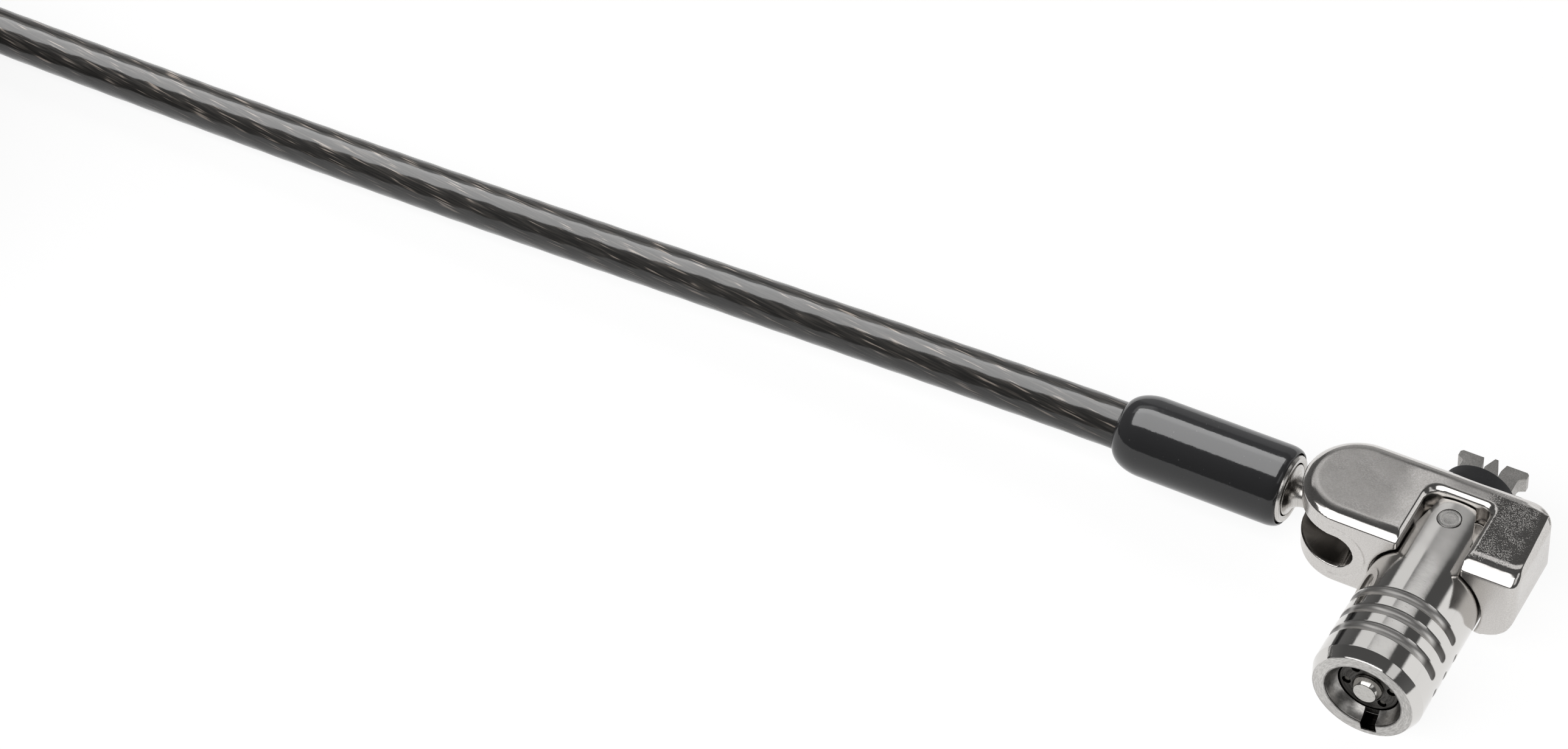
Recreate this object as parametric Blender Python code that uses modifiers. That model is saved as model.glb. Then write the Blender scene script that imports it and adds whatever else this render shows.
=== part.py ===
"""Laptop cable lock with a keyed barrel, a die-cast head, a swivelling cable end and a coiled cable.

Lock coordinates: the barrel's axis is Y, with the key side at -Y and the hooks at +Y. The head's top
plate faces +Z and the cable leaves towards -X. The retaining pin stands on the Z axis. The whole model
hangs on one empty, which puts the middle of the head and boot over the origin with the barrel on z = 0.
"""

import math

import bmesh
import bpy
from mathutils import Matrix, Vector

MM = 0.001
RUN_GAP = 0.15 * MM  # running clearance between pieces that move or are pressed together
SIDES = 32
SMALL_SIDES = 16
PIN_SIDES = 12

# --- barrel -----------------------------------------------------------------------------------------
BARREL_RADIUS = 5.0 * MM
BARREL_FRONT = -17.0 * MM
BARREL_BACK = -1.55 * MM
BARREL_SIDES = 64
FACE_RADIUS = 4.48 * MM
NOSE_LENGTH = 1.1 * MM
KEYWAY_RADIUS = 3.4 * MM
KEYWAY_DEPTH = 1.3 * MM
BORE_FLOOR = -3.5 * MM
GROOVE_RADIUS = 0.5 * MM
GROOVE_FIRST = -9.4 * MM
GROOVE_PITCH = 2.05 * MM
GROOVE_COUNT = 3
LAND_ANGLE = math.radians(6)
LAND_WIDTH = math.radians(16)
KEY_NOTCH_WIDTH = 1.3 * MM
KEY_NOTCH_RADIUS = 4.15 * MM
KEY_NOTCH_ANGLE = math.radians(-80)
TONGUE_WIDTH = 4.5 * MM
TONGUE_TIP_WIDTH = 3.6 * MM
TONGUE_TIP = 2.0 * MM
TONGUE_CORNER = 0.45 * MM
TONGUE_BOTTOM = 3.15 * MM
RETAINER_HEAD_RADIUS = 1.0 * MM
RETAINER_HEAD_THICKNESS = 0.4 * MM
RETAINER_RADIUS = 0.6 * MM

# --- tumblers ---------------------------------------------------------------------------------------
HOUSING_RADIUS = KEYWAY_RADIUS - 0.1 * MM
HOUSING_BACK = -4.1 * MM
PLUG_RADIUS = 2.7 * MM
SHEAR_LINE = -11.0 * MM
POST_RADIUS = 1.35 * MM
POST_TIP_RADIUS = 1.03 * MM
POST_CHAMFER = 0.5 * MM
POST_RECESS = 0.4 * MM
POST_SHANK_RADIUS = 0.95 * MM
POST_SHANK_LENGTH = 2.2 * MM
TUMBLER_COUNT = 6
TUMBLER_CIRCLE = 2.04 * MM
TUMBLER_RADIUS = 0.33 * MM
TUMBLER_FIRST = math.radians(-52)
TUMBLER_RECESS = 0.4 * MM
CHAMBER_DEPTH = 4.8 * MM
DRIVER_LENGTH = 1.9 * MM
DRIVER_WIRE = 0.07 * MM
HOUSING_PIN_RADIUS = 0.5 * MM
HOUSING_PIN_Y = -6.0 * MM
HOUSING_PIN_LENGTH = 2.6 * MM

# --- spindle and spreader ---------------------------------------------------------------------------
SPINDLE_RADIUS = 1.25 * MM
SPINDLE_BACK = 1.6 * MM
CLIP_THICKNESS = 0.3 * MM
CLIP_RADIUS = 2.0 * MM
CLIP_GROOVE_RADIUS = 0.95 * MM
KEY_TURN = math.radians(90)
BLADE_TRAVEL = 1.2 * MM
BLADE_HALF_WIDTH = 0.62 * MM
BLADE_HALF_HEIGHT = 0.75 * MM
BLADE_TIP = 10.35 * MM
BLADE_TIP_HALF_WIDTH = 0.15 * MM
BLADE_TIP_LENGTH = 1.15 * MM
CARRIER_HALF_WIDTH = 1.1 * MM
CARRIER_FRONT = -0.1 * MM
CARRIER_BACK = 1.85 * MM
CARRIER_THICKNESS = 0.55 * MM
FOLLOWER_RADIUS = 0.3 * MM
FOLLOWER_Y = 0.85 * MM
FOLLOWER_REACH = 0.35 * MM

# --- hooks ------------------------------------------------------------------------------------------
HOOK_LEVEL = 1.25 * MM  # height of the hooks, the pad and the cable above the barrel's axis
HOOK_HALF_HEIGHT = 0.8 * MM
HOOK_PIVOT_X = 1.9 * MM
HOOK_PIVOT_Y = 2.55 * MM
HUB_RADIUS = 0.85 * MM
HOOK_PIN_RADIUS = 0.4 * MM
HOOK_PIN_SEAT = 0.9 * MM
SHANK_INNER = 0.85 * MM
SHANK_OUTER = 2.55 * MM
HOOK_END = 10.05 * MM
LIP_REACH = 0.61 * MM
LIP_START = 9.0 * MM
LIP_SLOPE = 0.36 * MM
LIP_CORNER = 0.2 * MM
SPRING_RADIUS = 0.36 * MM
SPRING_WIRE = 0.06 * MM
SPRING_Y = 3.1 * MM

# --- head -------------------------------------------------------------------------------------------
END_RADIUS = 4.75 * MM
END_X = -8.3 * MM
BLOCK_RIGHT = 8.05 * MM
BLOCK_BACK_CORNER = 2.6 * MM
BLOCK_FRONT_CORNER = 0.6 * MM
BLOCK_ROUND = 3.5 * MM
BLOCK_BOTTOM = -2.35 * MM
BLOCK_STEP = 5.0 * MM
HEAD_TOP = 5.8 * MM
HEAD_BOTTOM = -3.0 * MM
TOP_BEVEL_WIDTH = 0.85 * MM
TOP_BEVEL_HEIGHT = 0.55 * MM
BOTTOM_BEVEL = 0.5 * MM
NOTCH_HALF_WIDTH = 2.95 * MM
NOTCH_CORNER = 1.0 * MM
NOTCH_BEVEL = 0.25 * MM
NOTCH_FLOOR = TONGUE_BOTTOM - RUN_GAP
CHANNEL_RADIUS = BARREL_RADIUS + RUN_GAP
CHANNEL_BACK = BARREL_BACK + RUN_GAP
CAVITY_HALF_WIDTH = 3.8 * MM
CAVITY_BACK = 3.6 * MM
CAVITY_TOP = 2.3 * MM
COVER_HALF_WIDTH = 4.9 * MM
COVER_BACK = 3.95 * MM
COVER_THICKNESS = 0.8 * MM
COVER_SCREW_X = 4.35 * MM
COVER_SCREW_Y = 1.2 * MM
SCREW_RADIUS = 0.4 * MM
SCREW_HEAD_RADIUS = 0.52 * MM
SCREW_HEAD_THICKNESS = 0.3 * MM
SCREW_LENGTH = 2.6 * MM
HOOK_WINDOW_HALF_WIDTH = 2.85 * MM

# --- bumper pad -------------------------------------------------------------------------------------
PAD_RADIUS = 3.3 * MM
PAD_FACE = 6.9 * MM
PAD_EDGE = 0.2 * MM
PAD_WINDOW_HALF_WIDTH = 2.8 * MM

# --- cable end --------------------------------------------------------------------------------------
PIVOT_X = -8.55 * MM
PIVOT_PIN_RADIUS = 0.8 * MM
PIVOT_PIN_SEAT = 1.5 * MM
CABLE_SLOT_RADIUS = 1.9 * MM
BALL_RADIUS = 1.7 * MM
NECK_RADIUS = 1.15 * MM
NECK_WAIST = -12.9 * MM
STUD_SHOULDER = -14.3 * MM
STUD_RADIUS = 2.3 * MM
STUD_LENGTH = 3.0 * MM
STUD_CLIP_X = -15.8 * MM
FERRULE_FACE = -14.35 * MM
FERRULE_RADIUS = 3.05 * MM
FERRULE_BACK = -26.0 * MM
FERRULE_WALL = -17.6 * MM
FERRULE_SOCKET = -18.4 * MM
BOOT_FACE = -14.6 * MM
BOOT_BACK = -30.6 * MM
BOOT_RADIUS = 3.65 * MM
BOOT_SHOULDER = 1.6 * MM
BOOT_EDGE = 0.35 * MM
BOOT_STEP = -26.3 * MM

# --- cable ------------------------------------------------------------------------------------------
CABLE_DIAMETER = 4.4 * MM
CABLE_RADIUS = CABLE_DIAMETER / 2
CORD_GAP = 0.3 * MM
TIE_FLOOR = 0.05 * MM
TIE_THICKNESS = 0.6 * MM
TIE_WIDTH = 6.0 * MM
TIE_CLEARANCE = 0.3 * MM
TIE_ANGLE = math.radians(170)
COIL_OUTER = 32.0 * MM
COIL_INNER = 20.0 * MM
COIL_X = -180.0 * MM
COIL_LAYERS = 4
COIL_LAYER_PITCH = 4.95 * MM
COIL_TURNS = 9.0 + 7.0 / 12.0
COIL_START = math.radians(90)
LOOP_POINTS = 24
COIL_LIFT = TIE_FLOOR + TIE_THICKNESS + RUN_GAP
TAIL_CLIMB = 5.7 * MM
TAIL_RADIUS = 17.4 * MM
TAIL_TURN = math.radians(120)
SLEEVE_LENGTH = 12.0 * MM
SLEEVE_WALL = 0.8 * MM
STRAND_GAP = 0.5 * MM
EYE_LENGTH = 32.0 * MM
EYE_RADIUS = 8.5 * MM

# The cable's way from the ferrule to the coil, as (x, share of the ferrule's height over the coil's).
CABLE_ROUTE = (
    (-18.55, 1.0),
    (-33.0, 1.0),
    (-46.0, 0.892),
    (-60.0, 0.723),
    (-77.0, 0.508),
    (-97.0, 0.262),
    (-118.0, 0.077),
    (-140.0, 0.0),
    (-160.0, 0.0),
)

PARTS = "laptop_cable_lock"
CUTTERS = "cutters"


# --- scene helpers ----------------------------------------------------------------------------------
def clear_scene():
    for obj in list(bpy.data.objects):
        bpy.data.objects.remove(obj, do_unlink=True)


def collection(name):
    found = bpy.data.collections.get(name)
    if found is None:
        found = bpy.data.collections.new(name)
        bpy.context.scene.collection.children.link(found)
    return found


def material(name, colour, roughness, metallic):
    mat = bpy.data.materials.get(name)
    if mat is None:
        mat = bpy.data.materials.new(name)
        mat.use_nodes = True
        shader = mat.node_tree.nodes["Principled BSDF"]
        shader.inputs["Base Color"].default_value = (*colour, 1.0)
        shader.inputs["Roughness"].default_value = roughness
        shader.inputs["Metallic"].default_value = metallic
    return mat


def add_object(name, data, place=None, mat=None):
    """A new object in the parts collection, or a hidden cutter where it has no material."""
    obj = bpy.data.objects.new(name, data)
    obj.matrix_world = place or Matrix.Identity(4)
    collection(PARTS if mat else CUTTERS).objects.link(obj)
    if mat:
        data.materials.append(mat)
    else:
        obj.hide_render = True
        obj.display_type = "WIRE"
    return obj


def smooth(obj, angle=35):
    obj.data.shade_smooth()
    obj.data.set_sharp_from_angle(angle=math.radians(angle))
    return obj


def along(start, direction):
    """The matrix that puts local Z along direction, with its origin at start."""
    return Matrix.Translation(start) @ Vector(direction).to_track_quat("Z", "Y").to_matrix().to_4x4()


def boolean(target, tool, operation):
    mod = target.modifiers.new(operation.lower(), "BOOLEAN")
    mod.operation = operation
    mod.object = tool
    return target


def cut(target, *tools):
    for tool in tools:
        boolean(target, tool, "DIFFERENCE")
    return target


def fuse(target, *tools):
    for tool in tools:
        boolean(target, tool, "UNION")
    return target


# --- shape helpers ----------------------------------------------------------------------------------
def cylinder(name, radius, start, end, mat=None, sides=SIDES):
    """A plain round bar from start to end."""
    start, end = Vector(start), Vector(end)
    bm = bmesh.new()
    length = (end - start).length
    bmesh.ops.create_cone(
        bm, cap_ends=True, segments=sides, radius1=radius, radius2=radius, depth=length
    )
    bmesh.ops.translate(bm, verts=bm.verts, vec=(0, 0, length / 2))
    data = bpy.data.meshes.new(name)
    bm.to_mesh(data)
    bm.free()
    return smooth(add_object(name, data, along(start, end - start), mat))


def box(name, low, high, mat=None, turn=None):
    """A block between two corners, turned about the Y axis by turn where that is given."""
    bm = bmesh.new()
    bmesh.ops.create_cube(bm, size=1.0)
    size = [high[i] - low[i] for i in range(3)]
    middle = [(high[i] + low[i]) / 2 for i in range(3)]
    bmesh.ops.scale(bm, verts=bm.verts, vec=size)
    bmesh.ops.translate(bm, verts=bm.verts, vec=middle)
    data = bpy.data.meshes.new(name)
    bm.to_mesh(data)
    bm.free()
    place = Matrix.Rotation(turn, 4, "Y") if turn else None
    return add_object(name, data, place, mat)


def turned(name, profile, start, direction, mat=None, sides=SIDES, closed=False):
    """A lathe shape. The profile holds (radius, distance along direction), farthest end first."""
    data = bpy.data.meshes.new(name)
    count = len(profile)
    edges = [(i, i + 1) for i in range(count - 1)]
    if closed:
        edges.append((count - 1, 0))
    data.from_pydata([(r, 0.0, z) for r, z in profile], edges, [])
    obj = add_object(name, data, along(start, direction), mat)
    screw = obj.modifiers.new("turn", "SCREW")
    screw.steps = sides
    screw.render_steps = sides
    screw.use_merge_vertices = True
    screw.merge_threshold = 0.000001
    screw.use_smooth_shade = True
    return obj


def ring(name, inner, outer, low, high, start, direction, mat=None, sides=SIDES):
    """A plain ring between two distances along direction."""
    profile = [(outer, high), (outer, low), (inner, low), (inner, high)]
    return turned(name, profile, start, direction, mat, sides, closed=True)


def arc(centre, radius, first, last, steps):
    """Points on an arc, both ends included, angles in radians."""
    turn = [first + (last - first) * i / steps for i in range(steps + 1)]
    return [(centre[0] + radius * math.cos(a), centre[1] + radius * math.sin(a)) for a in turn]


def curve_to_mesh(name, curve, place, mat):
    """A curve's evaluated mesh with welded caps, as an object of its own."""
    holder = bpy.data.objects.new(name + "_curve", curve)
    bpy.context.scene.collection.objects.link(holder)
    bpy.context.view_layer.update()
    graph = bpy.context.evaluated_depsgraph_get()
    data = bpy.data.meshes.new_from_object(holder.evaluated_get(graph))
    bpy.data.objects.remove(holder, do_unlink=True)
    bm = bmesh.new()
    bm.from_mesh(data)
    bmesh.ops.remove_doubles(bm, verts=bm.verts, dist=0.000001)
    bmesh.ops.recalc_face_normals(bm, faces=bm.faces)
    bm.to_mesh(data)
    bm.free()
    data.name = name
    return smooth(add_object(name, data, place, mat))


def plate(name, outline, low, high, mat=None, place=None):
    """A flat outline in local XY, thick from low to high along local Z."""
    curve = bpy.data.curves.new(name, "CURVE")
    curve.dimensions = "2D"
    curve.fill_mode = "BOTH"
    curve.extrude = (high - low) / 2
    spline = curve.splines.new("POLY")
    spline.points.add(len(outline) - 1)
    for point, (x, y) in zip(spline.points, outline):
        point.co = (x, y, 0.0, 1.0)
    spline.use_cyclic_u = True
    lift = Matrix.Translation((0, 0, (low + high) / 2))
    return curve_to_mesh(name, curve, (place or Matrix.Identity(4)) @ lift, mat)


def tube(name, points, radius, mat=None, resolution=2, cyclic=False):
    """A round wire or cord through points."""
    curve = bpy.data.curves.new(name, "CURVE")
    curve.dimensions = "3D"
    curve.bevel_depth = radius
    curve.bevel_resolution = resolution
    curve.use_fill_caps = not cyclic
    spline = curve.splines.new("POLY")
    spline.points.add(len(points) - 1)
    for point, co in zip(spline.points, points):
        point.co = (*co, 1.0)
    spline.use_cyclic_u = cyclic
    return curve_to_mesh(name, curve, None, mat)


def loft(name, sections, mat=None):
    """A solid through outlines of equal point counts, each given as (outline, height)."""
    bm = bmesh.new()
    rings = [[bm.verts.new((x, y, z)) for x, y in outline] for outline, z in sections]
    count = len(rings[0])
    bm.faces.new(list(reversed(rings[0])))
    bm.faces.new(rings[-1])
    for lower, upper in zip(rings, rings[1:]):
        for i in range(count):
            j = (i + 1) % count
            bm.faces.new((lower[i], lower[j], upper[j], upper[i]))
    data = bpy.data.meshes.new(name)
    bm.to_mesh(data)
    bm.free()
    return add_object(name, data, None, mat)


def spring_points(start, direction, radius, length, turns, per_turn=8):
    """Points of a helix that climbs along direction."""
    place = along(start, direction)
    total = int(turns * per_turn)
    points = []
    for i in range(total + 1):
        angle = 2 * math.pi * i / per_turn
        local = Vector((radius * math.cos(angle), radius * math.sin(angle), length * i / total))
        points.append(place @ local)
    return points


def smooth_route(knots, step):
    """Points along a Catmull-Rom curve through knots, about step apart."""
    padded = [knots[0] * 2 - knots[1], *knots, knots[-1] * 2 - knots[-2]]
    points = []
    for before, here, there, after in zip(padded, padded[1:], padded[2:], padded[3:]):
        count = max(1, round((there - here).length / step))
        for i in range(count):
            t = i / count
            points.append(
                0.5
                * (
                    2 * here
                    + (there - before) * t
                    + (2 * before - 5 * here + 4 * there - after) * t**2
                    + (3 * here - before - 3 * there + after) * t**3
                )
            )
    return points + [knots[-1].copy()]


# --- materials --------------------------------------------------------------------------------------
def nickel():
    return material("satin_nickel", (0.62, 0.60, 0.57), 0.28, 1.0)


def polished():
    return material("polished_nickel", (0.72, 0.71, 0.69), 0.14, 1.0)


def steel():
    return material("turned_steel", (0.60, 0.59, 0.57), 0.30, 1.0)


def sintered():
    return material("sintered_steel", (0.36, 0.35, 0.34), 0.45, 1.0)


def brass():
    return material("brass", (0.72, 0.55, 0.26), 0.32, 1.0)


def rubber():
    return material("charcoal_rubber", (0.035, 0.035, 0.037), 0.75, 0.0)


def boot_plastic():
    return material("gloss_black_plastic", (0.012, 0.012, 0.013), 0.16, 0.0)


def dark_nickel():
    return material("dark_nickel", (0.16, 0.155, 0.15), 0.35, 1.0)


def cable_jacket():
    return material("smoked_vinyl", (0.10, 0.10, 0.10), 0.18, 0.0)


def tie_plastic():
    return material("tie_plastic", (0.02, 0.02, 0.02), 0.5, 0.0)


# --- head -------------------------------------------------------------------------------------------
def head_outline(inset=0.0):
    """The head seen from above, drawn in by inset, anticlockwise from the front right corner."""
    front, back = -END_RADIUS + inset, END_RADIUS - inset
    right = BLOCK_RIGHT - inset
    small = BLOCK_FRONT_CORNER
    large = BLOCK_BACK_CORNER
    half_pi = math.pi / 2
    return (
        arc((right - small, front + small), small, -half_pi, 0, 3)
        + arc((right - large, back - large), large, 0, half_pi, 6)
        + arc((END_X, 0), END_RADIUS - inset, half_pi, 3 * half_pi, 20)
    )


def side_outline():
    """The head's side view in XZ, with the block's rounded lower right corner."""
    far = END_X - 2 * END_RADIUS
    low, top = 2 * HEAD_BOTTOM, 2 * HEAD_TOP
    centre = (BLOCK_RIGHT - BLOCK_ROUND, BLOCK_BOTTOM + BLOCK_ROUND)
    corner = arc(centre, BLOCK_ROUND, math.radians(-77), 0, 9)
    return [(far, low), (BLOCK_STEP, low), (BLOCK_STEP, HEAD_BOTTOM), *corner, (BLOCK_RIGHT, top), (far, top)]


def notch_outline(grow=0.0):
    """The notch in the top plate, open to the front."""
    side = NOTCH_HALF_WIDTH + grow
    back = TONGUE_TIP + RUN_GAP + grow
    front = -2 * END_RADIUS
    corner = NOTCH_CORNER
    return (
        [(-side, front), (side, front)]
        + arc((side - corner, back - corner), corner, 0, math.pi / 2, 5)
        + arc((corner - side, back - corner), corner, math.pi / 2, math.pi, 5)
    )


def cable_slot_cutters():
    low, high = HOOK_LEVEL - CABLE_SLOT_RADIUS, HOOK_LEVEL + CABLE_SLOT_RADIUS
    reach = 2 * END_RADIUS
    mouth = box("cut_slot", (END_X - reach, -reach, low), (PIVOT_X, reach, high))
    end = cylinder(
        "cut_slot_end", CABLE_SLOT_RADIUS, (PIVOT_X, -reach, HOOK_LEVEL), (PIVOT_X, reach, HOOK_LEVEL)
    )
    return mouth, end


def hook_window(name, half_width, low, high):
    half_height = HOOK_HALF_HEIGHT + RUN_GAP
    return box(
        name, (-half_width, low, HOOK_LEVEL - half_height), (half_width, high, HOOK_LEVEL + half_height)
    )


def lock_body():
    sections = [
        (head_outline(BOTTOM_BEVEL), HEAD_BOTTOM),
        (head_outline(), HEAD_BOTTOM + BOTTOM_BEVEL),
        (head_outline(), HEAD_TOP - TOP_BEVEL_HEIGHT),
        (head_outline(TOP_BEVEL_WIDTH), HEAD_TOP),
    ]
    body = loft("lock_body", sections, nickel())
    upright = Matrix.Rotation(math.pi / 2, 4, "X")
    boolean(
        body,
        plate("side_form", side_outline(), -2 * END_RADIUS, 2 * END_RADIUS, place=upright),
        "INTERSECT",
    )
    rim = HEAD_TOP - NOTCH_BEVEL
    notch = loft(
        "cut_notch",
        [
            (notch_outline(), NOTCH_FLOOR),
            (notch_outline(), rim),
            (notch_outline(2 * NOTCH_BEVEL), HEAD_TOP + NOTCH_BEVEL),
        ],
    )
    channel = cylinder(
        "cut_channel",
        CHANNEL_RADIUS,
        (0, -2 * END_RADIUS, 0),
        (0, CHANNEL_BACK, 0),
        sides=BARREL_SIDES,
    )
    below = 2 * HEAD_BOTTOM
    cavity = box(
        "cut_cavity",
        (-CAVITY_HALF_WIDTH, CHANNEL_BACK - RUN_GAP, below),
        (CAVITY_HALF_WIDTH, CAVITY_BACK, CAVITY_TOP),
    )
    seat = box(
        "cut_cover_seat",
        (-COVER_HALF_WIDTH, CHANNEL_BACK - RUN_GAP, below),
        (COVER_HALF_WIDTH, COVER_BACK, HEAD_BOTTOM + COVER_THICKNESS + RUN_GAP),
    )
    relief = box(
        "cut_relief", (0, -2 * END_RADIUS, below), (2 * BLOCK_RIGHT, CHANNEL_BACK - RUN_GAP, BLOCK_BOTTOM)
    )
    window = hook_window("cut_window", HOOK_WINDOW_HALF_WIDTH, CAVITY_BACK - RUN_GAP, 2 * END_RADIUS)
    cut(body, notch, channel, relief, cavity, seat, window, *cable_slot_cutters())
    cut(body, pivot_bore(), retainer_bore("cut_ceiling_bore", RETAINER_RADIUS, CAVITY_TOP))
    for side in (-1, 1):
        cut(body, screw_bore(side), hook_pin_bore(side))
    return smooth(body)


def pivot_bore():
    top = HOOK_LEVEL + CABLE_SLOT_RADIUS + PIVOT_PIN_SEAT + RUN_GAP
    return cylinder(
        "cut_pivot",
        PIVOT_PIN_RADIUS + RUN_GAP,
        (PIVOT_X, 0, 2 * HEAD_BOTTOM),
        (PIVOT_X, 0, top),
        sides=SMALL_SIDES,
    )


def retainer_bore(name, radius, floor):
    return cylinder(name, radius + RUN_GAP, (0, 0, floor - RUN_GAP), (0, 0, 2 * HEAD_TOP), sides=SMALL_SIDES)


def screw_bore(side):
    x = side * COVER_SCREW_X
    return cylinder(
        f"cut_screw_{side}",
        SCREW_RADIUS + RUN_GAP / 2,
        (x, COVER_SCREW_Y, 2 * HEAD_BOTTOM),
        (x, COVER_SCREW_Y, HEAD_BOTTOM + SCREW_LENGTH + 2 * RUN_GAP),
        sides=PIN_SIDES,
    )


def hook_pin_bore(side):
    x = side * HOOK_PIVOT_X
    return cylinder(
        f"cut_hook_pin_{side}",
        HOOK_PIN_RADIUS + RUN_GAP / 2,
        (x, HOOK_PIVOT_Y, CAVITY_TOP - RUN_GAP),
        (x, HOOK_PIVOT_Y, CAVITY_TOP + HOOK_PIN_SEAT),
        sides=PIN_SIDES,
    )


def mechanism_cover():
    low, high = HEAD_BOTTOM, HEAD_BOTTOM + COVER_THICKNESS
    front = CHANNEL_BACK + RUN_GAP
    cover = box(
        "mechanism_cover",
        (RUN_GAP - COVER_HALF_WIDTH, front, low),
        (COVER_HALF_WIDTH - RUN_GAP, COVER_BACK - RUN_GAP, high),
        nickel(),
    )
    for side in (-1, 1):
        x = side * COVER_SCREW_X
        middle = (x, COVER_SCREW_Y, low + SCREW_HEAD_THICKNESS + RUN_GAP)
        top = (x, COVER_SCREW_Y, 0)
        under = (x, COVER_SCREW_Y, 2 * low)
        hole = SCREW_RADIUS + RUN_GAP / 2
        head = SCREW_HEAD_RADIUS + RUN_GAP / 2
        cut(
            cover,
            cylinder(f"cut_cover_hole_{side}", hole, under, top, sides=PIN_SIDES),
            cylinder(f"cut_cover_sink_{side}", head, under, middle, sides=PIN_SIDES),
        )
    return cover


def cover_screw(name, side):
    x = side * COVER_SCREW_X
    profile = [
        (0, SCREW_LENGTH),
        (SCREW_RADIUS, SCREW_LENGTH),
        (SCREW_RADIUS, SCREW_HEAD_THICKNESS),
        (SCREW_HEAD_RADIUS, SCREW_HEAD_THICKNESS),
        (SCREW_HEAD_RADIUS, 0),
        (0, 0),
    ]
    return turned(name, profile, (x, COVER_SCREW_Y, HEAD_BOTTOM), (0, 0, 1), steel(), PIN_SIDES)


# --- barrel -----------------------------------------------------------------------------------------
def tongue_outline():
    half, tip = TONGUE_WIDTH / 2, TONGUE_TIP_WIDTH / 2
    root = BARREL_BACK - 1.0 * MM
    corner = TONGUE_CORNER
    return (
        [(-half, root), (half, root), (half, BARREL_BACK)]
        + arc((tip - corner, TONGUE_TIP - corner), corner, 0, math.pi / 2, 4)
        + arc((corner - tip, TONGUE_TIP - corner), corner, math.pi / 2, math.pi, 4)
        + [(-half, BARREL_BACK)]
    )


def groove_cutters():
    """Round-bottomed grip grooves, each broken by a land on either side of the barrel."""
    cutters = []
    for row in range(GROOVE_COUNT):
        y = GROOVE_FIRST - row * GROOVE_PITCH
        for half in range(2):
            first = LAND_ANGLE + LAND_WIDTH / 2 + half * math.pi
            last = LAND_ANGLE - LAND_WIDTH / 2 + (half + 1) * math.pi
            ring_points = arc((0, 0), BARREL_RADIUS, first, last, 24)
            points = [(x, y, z) for x, z in ring_points]
            cutters.append(tube(f"cut_groove_{row}_{half}", points, GROOVE_RADIUS))
    return cutters


def barrel_sleeve():
    profile = [
        (0, BARREL_BACK),
        (BARREL_RADIUS, BARREL_BACK),
        (BARREL_RADIUS, BARREL_FRONT + NOSE_LENGTH),
        (FACE_RADIUS, BARREL_FRONT),
        (KEYWAY_RADIUS, BARREL_FRONT),
        (KEYWAY_RADIUS, BORE_FLOOR),
        (0, BORE_FLOOR),
    ]
    sleeve = turned(
        "barrel_sleeve", profile, (0, 0, 0), (0, 1, 0), polished(), BARREL_SIDES
    )
    tongue = plate("tongue_form", tongue_outline(), TONGUE_BOTTOM, BARREL_RADIUS + MM)
    crest = cylinder(
        "crest_form",
        BARREL_RADIUS,
        (0, 2 * BARREL_BACK, 0),
        (0, 2 * TONGUE_TIP, 0),
        sides=BARREL_SIDES,
    )
    boolean(tongue, crest, "INTERSECT")
    fuse(sleeve, tongue)
    notch = box(
        "cut_key_notch",
        (0, 2 * BARREL_FRONT, -KEY_NOTCH_WIDTH / 2),
        (KEY_NOTCH_RADIUS, BARREL_FRONT + KEYWAY_DEPTH, KEY_NOTCH_WIDTH / 2),
        turn=-KEY_NOTCH_ANGLE,
    )
    shaft = cylinder(
        "cut_shaft",
        SPINDLE_RADIUS + RUN_GAP,
        (0, BORE_FLOOR - MM, 0),
        (0, BARREL_BACK + MM, 0),
        sides=SMALL_SIDES,
    )
    sink = cylinder(
        "cut_retainer_sink",
        RETAINER_HEAD_RADIUS + RUN_GAP / 2,
        (0, 0, BARREL_RADIUS - RETAINER_HEAD_THICKNESS - RUN_GAP),
        (0, 0, 2 * BARREL_RADIUS),
    )
    cut(sleeve, *groove_cutters(), notch, shaft, sink)
    cut(sleeve, retainer_bore("cut_retainer_bore", RETAINER_RADIUS, TONGUE_BOTTOM))
    cut(sleeve, housing_pin_bore("cut_sleeve_pin_bore"))
    return smooth(sleeve)


def housing_pin_bore(name):
    radius = HOUSING_PIN_RADIUS + RUN_GAP / 2
    top = HOUSING_PIN_LENGTH - BARREL_RADIUS + RUN_GAP
    return cylinder(
        name, radius, (0, HOUSING_PIN_Y, -2 * BARREL_RADIUS), (0, HOUSING_PIN_Y, top), sides=PIN_SIDES
    )


def barrel_pin():
    top = BARREL_RADIUS - 0.02 * MM
    shoulder = top - RETAINER_HEAD_THICKNESS
    profile = [
        (0, top),
        (RETAINER_HEAD_RADIUS, top),
        (RETAINER_HEAD_RADIUS, shoulder),
        (RETAINER_RADIUS, shoulder),
        (RETAINER_RADIUS, CAVITY_TOP),
        (0, CAVITY_TOP),
    ]
    return turned("barrel_pin", profile, (0, 0, 0), (0, 0, 1), steel(), SMALL_SIDES * 2)


def housing_pin():
    return cylinder(
        "housing_pin",
        HOUSING_PIN_RADIUS,
        (0, HOUSING_PIN_Y, -BARREL_RADIUS + 0.05 * MM),
        (0, HOUSING_PIN_Y, -BARREL_RADIUS + HOUSING_PIN_LENGTH),
        steel(),
        PIN_SIDES,
    )


# --- tumblers ---------------------------------------------------------------------------------------
def tumbler_places():
    """The (x, z) of each tumbler on its circle."""
    step = 2 * math.pi / TUMBLER_COUNT
    turns = [TUMBLER_FIRST + i * step for i in range(TUMBLER_COUNT)]
    return [(TUMBLER_CIRCLE * math.cos(a), TUMBLER_CIRCLE * math.sin(a)) for a in turns]


def plug_face():
    return BARREL_FRONT + KEYWAY_DEPTH


def chamber_cutters(prefix, low, high):
    radius = TUMBLER_RADIUS + RUN_GAP / 2
    return [
        cylinder(f"{prefix}_{i}", radius, (x, low, z), (x, high, z), sides=PIN_SIDES)
        for i, (x, z) in enumerate(tumbler_places())
    ]


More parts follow.
